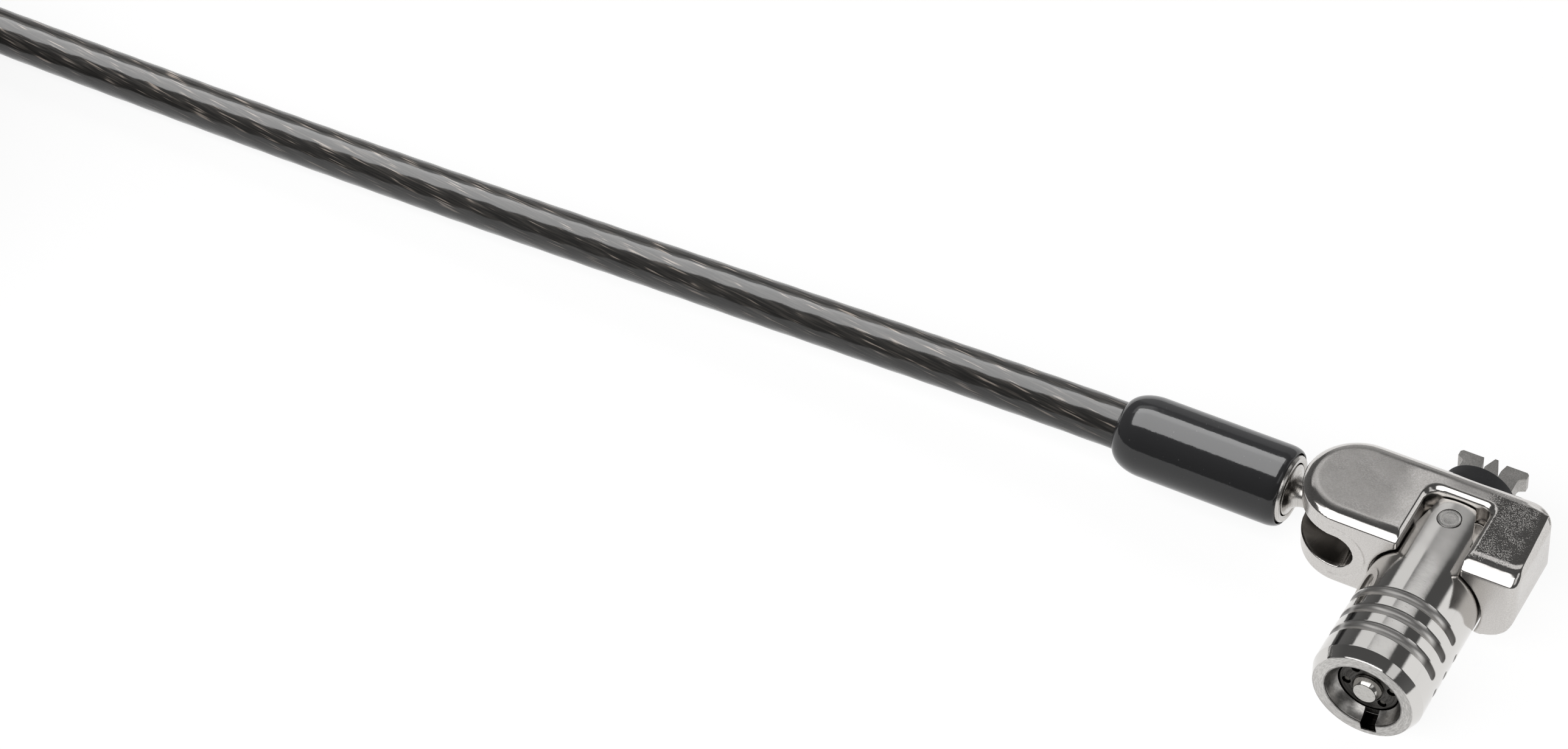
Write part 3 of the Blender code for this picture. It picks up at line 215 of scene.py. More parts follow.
def combine(obj, *steps):
    """Boolean steps, each (operation, tool); the tools are used up."""
    for operation, tool in steps:
        mod = obj.modifiers.new("combine", "BOOLEAN")
        mod.operation = operation
        mod.object = tool
        mod.solver = "EXACT"
    apply(obj)
    for _, tool in steps:
        bpy.data.objects.remove(tool, do_unlink=True)
    return obj


def cut(obj, *tools):
    return combine(obj, *[("DIFFERENCE", tool) for tool in tools])


def fuse(obj, *tools):
    return combine(obj, *[("UNION", tool) for tool in tools])


def soften(obj, voxel, rounds):
    """An even skin with softly rounded edges, as a casting has."""
    skin = obj.modifiers.new("skin", "REMESH")
    skin.mode = "VOXEL"
    skin.voxel_size = voxel
    relax = obj.modifiers.new("relax", "SMOOTH")
    relax.factor = 0.5
    relax.iterations = rounds
    return apply(obj)


def round_edges(obj, width, angle):
    mod = obj.modifiers.new("round", "BEVEL")
    mod.width = width
    mod.segments = 2
    mod.limit_method = "ANGLE"
    mod.angle_limit = math.radians(angle)
    return apply(obj)


def settle(obj, body, slot, mat, *nodes, sharp=40):
    """Into metres and into place, riding on a body and standing for CAD nodes."""
    obj.data.transform(Matrix.Scale(MM, 4))
    obj.location = PLACE
    obj.data.materials.clear()
    obj.data.materials.append(mat)
    obj.data.shade_smooth()
    if sharp:
        obj.data.set_sharp_from_angle(angle=math.radians(sharp))
    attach(obj, body)
    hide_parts(*nodes)
    return obj


# --- node tools ---
class Graph:
    """Short calls for the nodes of a material or a world."""

    def __init__(self, tree):
        self.nodes, self.links = tree.nodes, tree.links

    def feed(self, socket, value):
        if isinstance(value, bpy.types.NodeSocket):
            self.links.new(value, socket)
        else:
            socket.default_value = value

    def node(self, kind, inputs=(), **settings):
        made = self.nodes.new("ShaderNode" + kind)
        for key, value in settings.items():
            setattr(made, key, value)
        for key, value in dict(inputs).items():
            self.feed(made.inputs[key], value)
        return made

    def math(self, operation, a, b=0.0, c=0.0):
        return self.node("Math", {0: a, 1: b, 2: c}, operation=operation).outputs[0]

    def times(self, first, *rest):
        for value in rest:
            first = self.math("MULTIPLY", first, value)
        return first

    def reach(self, a, b):
        """The length of the flat vector a, b."""
        return self.math("SQRT", self.math("ADD", self.times(a, a), self.times(b, b)))

    def span(self, value, low, high, to_low=0.0, to_high=1.0, smooth=True):
        """Value from low..high to to_low..to_high, clamped."""
        inputs = {0: value, 1: low, 2: high, 3: to_low, 4: to_high}
        kind = "SMOOTHSTEP" if smooth else "LINEAR"
        return self.node("MapRange", inputs, interpolation_type=kind).outputs[0]

    def axes(self, vector):
        return self.node("SeparateXYZ", {0: vector}).outputs

    def join(self, x, y, z):
        return self.node("CombineXYZ", {0: x, 1: y, 2: z}).outputs[0]


class Paint(Graph):
    """A material round one Principled shader, with its points in millimetres."""

    def __init__(self, name, colour, roughness, metallic=0.0, **sockets):
        self.mat = bpy.data.materials.new(name)
        self.mat.use_nodes = True
        super().__init__(self.mat.node_tree)
        self.shader = self.nodes["Principled BSDF"]
        self.set("Base Color", (*colour, 1.0))
        self.set("Roughness", roughness)
        self.set("Metallic", metallic)
        for key, value in sockets.items():
            self.set(key.replace("_", " "), value)
        self.place = self.node("TexCoord")
        inputs = {0: self.place.outputs["Object"], "Scale": 1 / MM}
        self.point = self.node("VectorMath", inputs, operation="SCALE").outputs[0]

    def set(self, name, value):
        self.feed(self.shader.inputs[name], value)

    def noise(self, scale, detail=2.0, rough=0.5, vector=None):
        """Noise with scale in features per millimetre."""
        inputs = {"Vector": vector or self.point, "Scale": scale}
        inputs |= {"Detail": detail, "Roughness": rough}
        return self.node("TexNoise", inputs).outputs["Fac"]

    def blend(self, share, a, b):
        ends = [c if isinstance(c, bpy.types.NodeSocket) else (*c, 1.0) for c in (a, b)]
        return self.node("Mix", {0: share, 6: ends[0], 7: ends[1]}, data_type="RGBA").outputs[2]

    def edges(self, radius):
        """Normals rounded over sharp edges, radius in millimetres."""
        return self.node("Bevel", {"Radius": radius * MM}, samples=6).outputs[0]

    def leaned(self, lean):
        """The surface's normal, leaning towards +Y by a small share."""
        own = self.node("NewGeometry").outputs["Normal"]
        inputs = {0: own, 1: self.join(0.0, lean, 0.0)}
        return self.node("VectorMath", inputs, operation="ADD").outputs[0]

    def bump(self, height, depth, normal=None):
        """Height times depth in millimetres, on top of another normal."""
        inputs = {"Height": height, "Distance": depth * MM, "Strength": 1.0}
        if normal is not None:
            inputs["Normal"] = normal
        return self.node("Bump", inputs).outputs[0]


# --- materials: their masks are in lock coordinates, in millimetres ---
def cast_nickel():
    """Satin nickel over a zinc casting: fine grain, polished bevels, a mirror-like right block, and
    painted shade on the fork slot's walls.
    """
    p = Paint("cast_nickel", (0.60, 0.58, 0.56), 0.3, 1.0)
    x, y, z = p.axes(p.point)
    up = p.axes(p.place.outputs["Normal"])[2]
    grain = p.noise(8.0, 3.0, 0.6)
    speck = p.noise(9.0, 0.0)
    cloud = p.noise(0.35)
    flat = p.span(up, 0.9, 0.985)
    block = p.times(p.span(x, 1.6, 3.6), flat)
    bevel = p.times(p.span(up, 0.35, 0.55), p.span(up, 0.97, 0.9))
    polish = p.math("MAXIMUM", block, bevel)
    swell = p.times(p.span(x, -5.9, -3.3), p.span(x, 0.1, -2.2))
    metal = p.blend(p.span(grain, 0.25, 0.8), (0.54, 0.52, 0.50), (0.68, 0.66, 0.64))
    # painted shade: the fork slot's walls are coloured dark (0.15)
    p.set("Base Color", p.blend(slot_shade_mask(p, x, y, z), metal, (0.15, 0.14, 0.13)))
    satin = p.math("SUBTRACT", p.span(cloud, 0.3, 0.7, 0.25, 0.33), p.times(swell, 0.07))
    p.set("Roughness", p.span(polish, 0.0, 1.0, satin, 0.11, smooth=False))
    lean = p.math("SUBTRACT", p.times(block, 0.055), p.times(swell, 0.055))
    normal = p.leaned(p.times(lean, flat))
    normal = p.bump(p.times(cloud, 0.03), 1.0, normal)
    normal = p.bump(p.times(grain, flat), 0.0035, normal)
    patch = p.times(p.span(p.noise(0.8, 1.0), 0.38, 0.62, 0.2, 1.0), p.span(x, 7.4, 5.4, 0.1, 1.0))
    spots = p.times(p.span(speck, 0.52, 0.78), p.times(block, patch))
    p.set("Normal", p.bump(spots, 0.016, normal))
    return p.mat


def slot_shade_mask(p, x, y, z):
    """Painted shade: one on the fork slot's walls, away from its mouths, where the casting is
    coloured dark.
    """
    far = p.math("MAXIMUM", p.math("SUBTRACT", x, PIVOT_X), 0.0)
    reach = p.reach(far, p.math("SUBTRACT", z, LEVEL))
    near = p.times(p.span(x, -6.2, -6.5), p.span(p.math("ABSOLUTE", y), 4.62, 4.2))
    return p.times(p.span(reach, SLOT_HALF + 0.15, SLOT_HALF + 0.03), near)


def polished_nickel():
    """The barrel: bright, with a turned front face, and painted shade: a dark keyway wall, dark
    grooves away from the top, a near-black key notch, and a face and wall darker towards +X.
    """
    bright = (0.66, 0.645, 0.625)
    p = Paint("barrel_nickel", bright, 0.09, 1.0)
    x, y, z = p.axes(p.point)
    radius = p.reach(x, z)
    face = p.times(p.span(y, -16.9, -16.97), p.span(radius, 4.55, 4.45))
    wall = p.times(p.span(y, -3.4, -3.6), p.span(radius, 3.6, 3.5))
    # painted shade: the key notch's inside, behind the front face, is coloured near-black
    notch_shade = p.times(p.span(y, -16.97, -16.85), p.span(radius, 3.41, 3.46))
    notch_shade = p.times(notch_shade, p.times(p.span(radius, 4.3, 4.2), p.span(z, -2.5, -3.0)))
    rings = p.noise(1.0, 3.0, 0.6, p.join(p.times(radius, 14.0), p.times(x, 0.8), z))
    speck = p.noise(7.0)
    wave = p.noise(0.7)
    sweep = p.join(p.times(radius, 9.0), p.times(x, 2.4), p.times(z, 2.4))
    # random mottle, plus a fall towards +X that is painted shade on the right side of the face and
    # the bore wall
    mottle_and_side_shade = p.math("ADD", p.noise(1.0, 4.0, 0.65, sweep), p.span(x, -2.0, 4.5, 0.0, -0.10))
    dull = p.math("MAXIMUM", face, p.times(wall, 0.8))
    turned = p.blend(p.span(mottle_and_side_shade, 0.25, 0.70), (0.40, 0.39, 0.375), bright)
    # painted shade: the keyway's bore wall is coloured much darker than the barrel's outside
    shaded_bore_tone = p.blend(p.span(mottle_and_side_shade, 0.30, 0.70), (0.15, 0.145, 0.14), (0.36, 0.35, 0.335))
    metal = p.blend(dull, bright, p.blend(wall, turned, shaded_bore_tone))
    groove = p.times(p.span(y, -14.4, -14.2), p.span(y, -8.6, -8.8))
    groove = p.times(groove, p.span(radius, 4.985, 4.93))
    # painted shade: the grooves are coloured dark (0.10) except near the barrel's top
    groove_shade = p.times(groove, p.span(z, 3.5, 2.7))
    metal = p.blend(groove_shade, metal, (0.10, 0.095, 0.09))
    p.set("Base Color", p.blend(notch_shade, metal, (0.03, 0.028, 0.026)))
    gloss = p.math("ADD", p.span(wave, 0.3, 0.7, 0.05, 0.10), p.span(y, -5.5, -3.0, 0.0, 0.12))
    gloss = p.math("ADD", gloss, p.times(groove, 0.24))
    p.set("Roughness", p.span(dull, 0.0, 1.0, gloss, 0.34, smooth=False))
    normal = p.bump(wave, 0.003, p.edges(0.05))
    normal = p.bump(p.noise(13.0, 2.0, 0.6), 0.0014, normal)
    normal = p.bump(p.span(speck, 0.66, 0.84), 0.002, normal)
    p.set("Normal", p.bump(p.times(p.math("ADD", rings, mottle_and_side_shade), face), 0.05, normal))
    return p.mat


def turned_steel(name, colour, roughness, upright=True):
    """Turned metal with fine rings about the upright axis or the swivel's axis."""
    p = Paint(name, colour, roughness, 1.0)
    x, y, z = p.axes(p.point)
    u, v, w = (x, y, z) if upright else (y, p.math("SUBTRACT", z, LEVEL), x)
    place = p.join(p.times(p.reach(u, v), 16.0), p.times(w, 16.0), u)
    rings = p.noise(1.0, 3.0, 0.6, place)
    grain = p.noise(8.0)
    dark = tuple(c * 0.8 for c in colour)
    p.set("Base Color", p.blend(p.span(rings, 0.3, 0.7), dark, colour))
    p.set("Roughness", p.span(grain, 0.3, 0.7, roughness * 0.8, roughness * 1.25))
    p.set("Normal", p.bump(grain, 0.003, p.bump(rings, 0.008, p.edges(0.05))))
    return p.mat


def post_steel():
    """The keyway's post: a bright chamfer and a rough, dimpled end."""
    bright = (0.60, 0.585, 0.56)
    p = Paint("post_steel", bright, 0.12, 1.0)
    end = p.span(p.axes(p.point)[1], -16.54, -16.58)
    dimple = p.noise(3.4, 3.0, 0.6)
    grain = p.noise(9.0)
    rough = p.blend(grain, (0.46, 0.45, 0.43), (0.62, 0.605, 0.58))
    p.set("Base Color", p.blend(end, bright, rough))
    gloss = p.span(grain, 0.3, 0.7, 0.09, 0.16)
    p.set("Roughness", p.span(end, 0.0, 1.0, gloss, 0.36, smooth=False))
    p.set("Normal", p.bump(p.times(dimple, end), 0.12, p.edges(0.03)))
    return p.mat


def sintered_steel():
    """The hooks and the blade: a dull grey with a fine open grain and rubbed edges."""
    dark = (0.40, 0.39, 0.375)
    p = Paint("sintered_grey", dark, 0.42, 1.0)
    grain = p.noise(11.0, 3.0, 0.65)
    cloud = p.noise(1.2)
    p.set("Base Color", p.blend(p.span(grain, 0.3, 0.7), dark, (0.62, 0.605, 0.585)))
    p.set("Roughness", p.span(cloud, 0.3, 0.7, 0.50, 0.60))
    p.set("Normal", p.bump(grain, 0.012, p.edges(0.06)))
    return p.mat


def dark_metal():
    """The keyway's parts: plated dark, with turning marks."""
    p = Paint("dark_plated", (0.16, 0.155, 0.15), 0.32, 1.0)
    x, y, z = p.axes(p.point)
    rings = p.noise(1.0, 2.0, 0.5, p.join(p.times(p.reach(x, z), 12.0), y, z))
    grain = p.noise(9.0)
    tones = (0.030, 0.028, 0.026), (0.075, 0.072, 0.068)
    p.set("Base Color", p.blend(p.span(rings, 0.3, 0.7), *tones))
    p.set("Roughness", p.span(grain, 0.3, 0.7, 0.25, 0.42))
    p.set("Normal", p.bump(grain, 0.004, p.bump(rings, 0.01, p.edges(0.04))))
    return p.mat


def plain_metal(name, colour, roughness):
    """Unpolished metal with faint clouds."""
    p = Paint(name, colour, roughness, 1.0)
    grain = p.noise(7.0, 3.0, 0.6)
    cloud = p.noise(0.9)
    dark = tuple(c * 0.85 for c in colour)
    p.set("Base Color", p.blend(p.span(cloud, 0.3, 0.7), dark, colour))
    p.set("Roughness", p.span(grain, 0.3, 0.7, roughness * 0.8, roughness * 1.2))
    p.set("Normal", p.bump(grain, 0.005, p.edges(0.04)))
    return p.mat


def grained(name, colour, roughness, scale, tones, gloss, edge):
    """A dull rubber or plastic with an even grain and rounded edges."""
    p = Paint(name, colour, roughness)
    grain = p.noise(scale, 3.0, 0.6)
    p.set("Base Color", p.blend(p.span(grain, 0.3, 0.7), *tones))
    p.set("Roughness", p.span(grain, 0.3, 0.7, *gloss))
    p.set("Normal", p.bump(grain, 0.02, p.edges(edge)))
    return p.mat


def rubber_pad():
    tones = (0.024, 0.024, 0.026), (0.042, 0.042, 0.044)
    return grained("charcoal_pad", (0.032, 0.032, 0.034), 0.68, 8.0, tones, (0.6, 0.78), 0.08)


def strap_plastic():
    tones = (0.016, 0.016, 0.017), (0.028, 0.028, 0.029)
    return grained("strap_plastic", (0.020, 0.020, 0.021), 0.42, 3.5, tones, (0.36, 0.5), 0.15)


def boot_vinyl():
    """Dipped vinyl over the ferrule: deep gloss, faint orange peel and a few specks of dust."""
    black = (0.020, 0.020, 0.021)
    p = Paint("boot_vinyl", black, 0.09, IOR=1.52)
    peel = p.noise(1.6)
    fine = p.noise(9.0)
    dust = p.span(p.noise(4.6, 0.0), 0.82, 0.86)
    p.set("Base Color", p.blend(dust, black, (0.06, 0.06, 0.06)))
    p.set("Roughness", p.span(fine, 0.3, 0.7, 0.07, 0.13))
    p.set("Normal", p.bump(fine, 0.0004, p.bump(peel, 0.006)))
    return p.mat


def cable_vinyl():
    """Smoked clear vinyl over a wire rope: streaks of wire, faded between the strands as painted
    shade.

    The UV map gives the millimetres along the cable and the share of a turn round it.
    """
    coat = {"Coat_Weight": 1.0, "Coat_Roughness": 0.13, "Coat_IOR": 1.52}
    p = Paint("cable_vinyl", (0.02, 0.018, 0.016), 0.4, IOR=1.15, **coat)
    far, share, _ = p.axes(p.place.outputs["UV"])
    turn = p.times(share, 2 * math.pi)
    strand = p.math("SUBTRACT", turn, p.times(far, 2 * math.pi / STRAND_LAY))
    crest_shade = p.math("COSINE", p.times(strand, float(STRAND_COUNT)))
    wire = p.math("SUBTRACT", turn, p.times(far, 2 * math.pi / WIRE_LAY))
    lie = [p.times(p.math(wave, wire), 14.0) for wave in ("COSINE", "SINE")]
    lie = p.join(*lie, p.times(far, 0.36))
    fine = p.noise(1.0, 1.0, 0.4, lie)
    wide = p.noise(0.35, 1.0, 0.5, lie)
    streak = p.times(p.span(fine, 0.54, 0.70), p.span(wide, 0.36, 0.58))
    # painted shade: the wire streaks fade to 0.12 of their colour between the strands
    lit = p.times(streak, p.span(crest_shade, -0.4, 0.8, 0.12, 1.0))
    base = p.blend(p.span(fine, 0.3, 0.7), (0.012, 0.0115, 0.011), (0.028, 0.026, 0.024))
    p.set("Base Color", p.blend(lit, base, (0.20, 0.172, 0.150)))
    p.set("Roughness", p.span(lit, 0.0, 1.0, 0.45, 0.35, smooth=False))
    p.set("Normal", p.bump(fine, 0.003))
    p.set("Coat Normal", p.bump(p.noise(0.8), 0.012))
    return p.mat


# --- head ---
def head_outline(inset=0.0, crisp=0.0, step=None):
    """The head from above, with its rim drawn in by inset and its block's front by step.

    With crisp going from 0 to 1 the back right corner turns from round to cut straight.
    """
    front, back, right = -END_RADIUS + inset, END_RADIUS - inset, BLOCK_RIGHT - 0.25 * inset
    block = front if step is None else -END_RADIUS + step
    small, large = 0.8, 2.6
    corner = arc((right - large, back - large), large, 0, QUARTER, 16)
    tip, end = (7.5, 3.62), (4.4, back)
    for i, point in enumerate(corner):
        straight = [a + (b - a) * i / 16 for a, b in zip(tip, end)]
        corner[i] = tuple(a + (b - a) * crisp for a, b in zip(point, straight))
    return (
        [(2.0, front), (2.4, block)]
        + arc((right - small, block + small), small, -QUARTER, 0, 8)
        + corner
        + arc((END_X, 0), END_RADIUS - inset, QUARTER, 3 * QUARTER, 48)
    )


def side_outline():
    """The head's side view in XZ, with the block's rounded lower right corner."""
    centre = (BLOCK_RIGHT - BLOCK_ROUND, BLOCK_BOTTOM + BLOCK_ROUND)
    corner = arc(centre, BLOCK_ROUND, math.radians(-77), 0, 20)
    return [(-20, -6), (5, -6), (5, HEAD_BOTTOM), *corner, (BLOCK_RIGHT, 12), (-20, 12)]


def notch_outline(grow=0.0):
    """The notch from above, with a rounded mouth."""
    left, right, back = -2.66 - grow, 2.98 + grow, 2.12 + grow
    mouth, sharp, wide = 0.8, 0.9, 1.35
    front = -END_RADIUS - 0.35
    return (
        [(left - 2 * mouth, -10), (right + 2 * mouth, -10), (right + 2 * mouth, front)]
        + arc((right + mouth, front + mouth), mouth, 3 * QUARTER, 2 * QUARTER, 10)
        + arc((right - sharp, back - sharp), sharp, 0, QUARTER, 10)
        + arc((left + wide, back - wide), wide, QUARTER, 2 * QUARTER, 14)
        + arc((left - mouth, front + mouth), mouth, 0, -QUARTER, 10)
        + [(left - 2 * mouth, front)]
    )


def body_casting():
    """The die-cast head, with its bevels, notch, channel, cavity and fork."""
    low = [(HEAD_BOTTOM, 0.5), (-2.62, 0.12), (-2.35, 0.0)]
    high = [(4.85, 0.0, 0.0, 0.0), (5.1, 0.0, 0.0, 0.3), (5.41, 0.35, 0.4, 0.7)]
    high += [(5.62, 0.68, 0.7, 1.05), (5.74, 0.98, 0.95, 1.4), (HEAD_TOP, 1.28, 1.0, 1.8)]
    body = loft("body_casting", [(head_outline(*shape), z) for z, *shape in low + high])
    combine(body, ("INTERSECT", prism("side", side_outline(), -9, 9, UPRIGHT)))
    notch = [(0.0, 3.0), (0.0, 5.42), (0.06, 5.50), (0.34, 5.76), (0.44, 5.82), (0.7, 5.9)]
    cut(
        body,
        loft("notch", [(notch_outline(grow), z) for grow, z in notch]),
        bar("channel", BARREL_R + GAP, (0, -9, 0), (0, -1.4, 0), 160),
        box("relief", (0, -9, -6), (16, BARREL_BACK, BLOCK_BOTTOM)),
        box("cavity", (-3.8, BARREL_BACK, -6), (3.8, 3.6, 2.3)),
        box("seat", (-4.9, BARREL_BACK, -6), (4.9, 3.95, -2.05)),
        box("window", (-2.85, 3.45, LEVEL - WINDOW_HALF), (2.85, 9.5, LEVEL + WINDOW_HALF)),
        box("slot", (-20, -9, LEVEL - SLOT_HALF), (PIVOT_X, 9, LEVEL + SLOT_HALF)),
        bar("slot_end", SLOT_HALF, (PIVOT_X, -9, LEVEL), (PIVOT_X, 9, LEVEL), 64),
        bar("pivot", PIVOT_BORE, (PIVOT_X, 0, -6), (PIVOT_X, 0, 4.8), 32),
    )
    ridge = [(2.85, 0.0), (2.85, 0.10), (2.95, 0.16), (3.05, 0.10), (3.05, 0.0)]
    start = (PIVOT_X, -END_RADIUS + 0.04, LEVEL)
    rim = lathe("rim", ridge, start, (0, -1, 0), 64, closed=True)
    combine(rim, ("INTERSECT", box("keep", (PIVOT_X - 0.3, -6, -2.6), (0, 0, 5))))
    fuse(body, rim)
    return soften(body, 0.106, 3)


def cover_screw(name, side):
    """A screw of the cover, with a cross recess in its head."""
    x, recess = side * SCREW_X, HEAD_BOTTOM + 0.16
    profile = [(0, 2.6), (0.4, 2.6), (0.4, 0.3), (0.52, 0.3), (0.52, 0.06), (0.46, 0.0), (0, 0)]
    screw = lathe(name, profile, (x, SCREW_Y, HEAD_BOTTOM), (0, 0, 1), 32)
    long, wide = 0.3, 0.06
    arms = box("arm", (x - long, SCREW_Y - wide, -4), (x + long, SCREW_Y + wide, recess))
    cross = box("cross", (x - wide, SCREW_Y - long, -4), (x + wide, SCREW_Y + long, recess))
    return cut(screw, arms, cross)


# --- barrel ---
def groove_depth(distance):
    """A shallow round groove's depth by the distance from its middle line, with soft lips."""
    line = np.linspace(-1.0, 1.0, 2001)
    deep = np.maximum(0.0, np.sqrt(np.maximum(0.0, 1.0 - line**2)) - 0.86)
    kernel = np.exp(-((np.linspace(-0.12, 0.12, 121) / 0.03) ** 2))
    deep = np.convolve(deep, kernel / kernel.sum(), mode="same")
    return np.interp(distance, line, deep)


def barrel_skin():
    """The barrel's outside from the back to the face, as rings with the grip grooves pressed in.

    The grooves leave a bare strip on either side of two opposite seams.
    """
    sides, half, tip = 360, 0.62, 0.45
    seam, bare = radians(6, 8)
    rows = [-1.0 * i for i in range(-2, 9)]
    for line in GROOVES:
        rows += list(line + np.linspace(-half, half, 32))
    rows += [-15.5, -15.8, -15.88]
    angles = np.arange(sides) * 2 * np.pi / sides
    span = (angles - seam) % math.pi
    ends = np.minimum(span, math.pi - span) * BARREL_R
    past = np.maximum(0.0, bare * BARREL_R + tip - ends)
    rings = []
    for y in sorted(rows, reverse=True):
        depth = np.zeros(sides)
        for line in GROOVES:
            depth = np.maximum(depth, groove_depth(np.sqrt((y - line) ** 2 + past**2)))
        rings.append((BARREL_R - depth, y))
    nose = [(BARREL_R, -15.92), (4.985, -15.97), (4.94, -16.10), (4.85, -16.32)]
    nose += [(4.74, -16.57), (4.64, -16.79), (4.575, -16.93), (4.54, -16.985)]
    nose += [(4.49, BARREL_FRONT), (4.38, BARREL_FRONT)]
    nose += [(KEYWAY_R + 0.07, BARREL_FRONT), (KEYWAY_R, BARREL_FRONT + 0.07)]
    nose += [(3.36, -16.80), (3.18, -16.35), (2.98, -16.0), (2.80, -15.78), (2.76, -15.74)]
    nose += [(KEYWAY_R, -15.72), (KEYWAY_R, -10.0), (KEYWAY_R, -3.5)]
    rings += [(np.full(sides, r), y) for r, y in nose]
    points = [
        (r * math.cos(a), y, r * math.sin(a)) for radii, y in rings for r, a in zip(radii, angles)
    ]
    last = len(points) - sides
    ends = [list(range(sides)), [last + i for i in range(sides)]]
    return mesh_object("barrel", points, quads(len(rings), sides) + ends)


def tongue_outline():
    """The barrel's tongue from above, as it fills the head's notch."""
    root, neck, half, tip, corner, end = 2.58, -0.92, 2.42, 1.72, 0.4, 2.02
    return (
        [(-root, -2.6), (root, -2.6), (root, neck), (half, neck + 0.1)]
        + arc((tip - corner, end - corner), corner, 0, QUARTER, 8)
        + arc((corner - tip, end - corner), corner, QUARTER, math.pi, 8)
        + [(-half, neck + 0.1), (-root, neck)]
    )


def key_notch():
    """The tool that cuts the notch for the key's lug into the barrel's front."""
    lips = [(0.0, -PLUG_FACE), (0.0, 16.90), (0.10, 17.02), (0.2, 18.0)]
    half, long = 0.65, 4.15
    sections = []
    for grow, depth in lips:
        side, end = half + grow, long + grow
        sections.append(([(0, -side), (end, -side), (end, side), (0, side)], depth))
    notch = loft("notch", sections)
    notch.data.transform(Matrix.Rotation(math.radians(80), 4, "Y") @ UPRIGHT)
    return notch


def barrel():
    """The barrel with its tongue, bores and key notch."""
    behind = box("behind", (-6, BARREL_BACK, -6), (6, 3, 6))
    cut(behind, prism("tongue", tongue_outline(), 3.15, 7))
    return cut(
        barrel_skin(),
        behind,
        key_notch(),
        bar("shaft", 1.4, (0, -4.5, 0), (0, 0, 0), 48),
        bar("sink", 1.07, (0, 0, 4.45), (0, 0, 9), 64),
        bar("pin_bore", 0.75, (0, 0, 2.9), (0, 0, 9), 32),
        bar("lock_bore", 0.57, (0, -6, -10), (0, -6, -2.3), 32),
    )


def flush_pin():
    """The pin's head: flat, with a rolled edge and a turned ring."""
    profile = [(0, 4.93), (0.12, 4.925), (0.5, 4.945), (0.74, 4.96), (0.82, 4.945)]
    profile += [(0.88, 4.965), (0.95, 4.985), (0.99, 4.965), (1.0, 4.91)]
    profile += [(1.0, 4.58), (0.6, 4.58), (0.6, 2.3), (0, 2.3)]
    return lathe("flush_pin", profile, (0, 0, 0), (0, 0, 1), 72)


def tumbler_places():
    turns = radians(*[-52 + 360 / TUMBLERS * i for i in range(TUMBLERS)])
    return [(TUMBLER_CIRCLE * math.cos(a), TUMBLER_CIRCLE * math.sin(a)) for a in turns]


def keyway(mats):
    """The disc the key turns, the post it slides over and the six pins around it."""
    edge = [(1.025, -11.1), (2.7, -11.1), (2.7, PLUG_FACE + 0.08), (2.62, PLUG_FACE)]
    edge.append((1.025, PLUG_FACE))
    disc = lathe("keyway_disc", edge, (0, 0, 0), (0, 1, 0), 128, closed=True)
    holes = [bar("hole", 0.405, (x, -17, z), (x, -10, z), 32) for x, z in tumbler_places()]
    cut(disc, *holes)
    settle(disc, "key_plug", "dark_nickel", mats["dark"], "key_plug")
    front, face = BARREL_FRONT + 0.4, PLUG_FACE - 0.05
    profile = [(0, face + 2.2), (0.95, face + 2.2), (0.95, face), (1.35, face)]
    profile += [(1.35, front + 0.62), (1.33, front + 0.55), (1.03, front + 0.05)]
    profile += [(0.99, front), (0, front - 0.01)]
    post = lathe("key_post", profile, (0, 0, 0), (0, 1, 0))
    settle(post, "key_plug", "turned_steel", mats["post"], "center_post")
    for i, (x, z) in enumerate(tumbler_places(), start=1):
        profile = [(0, 4.45), (0.33, 4.45), (0.33, 0.12), (0.24, 0.0), (0, -0.03)]
        pin = lathe(f"tumbler_{i}", profile, (x, PLUG_FACE + 0.16, z), (0, 1, 0), 32)
        settle(pin, "key_plug", "brass", mats["tumbler"], f"key_pin_{i}")


# --- hooks, blade and pad ---
def hook_jaw(name, side):
    """A hook with a scooped lip, its edges rubbed round."""
    outline = [(0.85, 1.9), (2.55, 1.9), (2.55, 8.86)]
    outline += [(2.62, 9.06), (2.82, 9.19), (3.16, 9.36), (3.16, 9.85), (2.96, 10.05)]
    outline += [(1.05, 10.05), (0.85, 9.25)]
    if side < 0:
        outline = [(-x, y) for x, y in reversed(outline)]
    jaw = prism(name, outline, LEVEL - 0.8, LEVEL + 0.8)
    x = side * HOOK_X
    fuse(jaw, bar("hub", 0.85, (x, HOOK_Y, -2.05), (x, HOOK_Y, 2.15), 40))
    cut(jaw, bar("hub_bore", 0.475, (x, HOOK_Y, -6), (x, HOOK_Y, 6), 24))
    return round_edges(jaw, 0.06, 30)


def blade():
    """The plate between the hooks, with the carrier and the peg that the spindle moves."""
    half, shoulder, tip, end = 0.62, 9.2, 0.15, 10.35
    outline = [(-half, 2.95), (half, 2.95), (half, shoulder), (tip, end), (-tip, end)]
    outline.append((-half, shoulder))
    plate = prism("blade_plate", outline, LEVEL - 0.75, LEVEL + 0.75)
    carrier = box("carrier", (-1.1, -0.1, 1.45), (1.1, 1.85, 2.0))
    neck = box("neck", (-0.5, 0.85, 1.5), (0.5, 3.95, 1.95))
    peg = bar("peg", 0.3, (0, 0.85, 1.05), (0, 0.85, 1.9), 24)
    fuse(plate, carrier, neck, peg)
    return round_edges(plate, 0.05, 30)


def pad():
    """The round pad that rests on the laptop, open for the hooks."""
    profile = [(0, 6.9), (3.02, 6.9), (3.16, 6.87), (3.26, 6.78), (3.3, 6.65), (3.3, 4.9), (0, 4.9)]
    disc = lathe("pad_disc", profile, (0, 0, LEVEL), (0, 1, 0), 128)
    window = box("window", (-2.8, 0, LEVEL - WINDOW_HALF), (2.8, 12, LEVEL + WINDOW_HALF))
    return cut(disc, window)


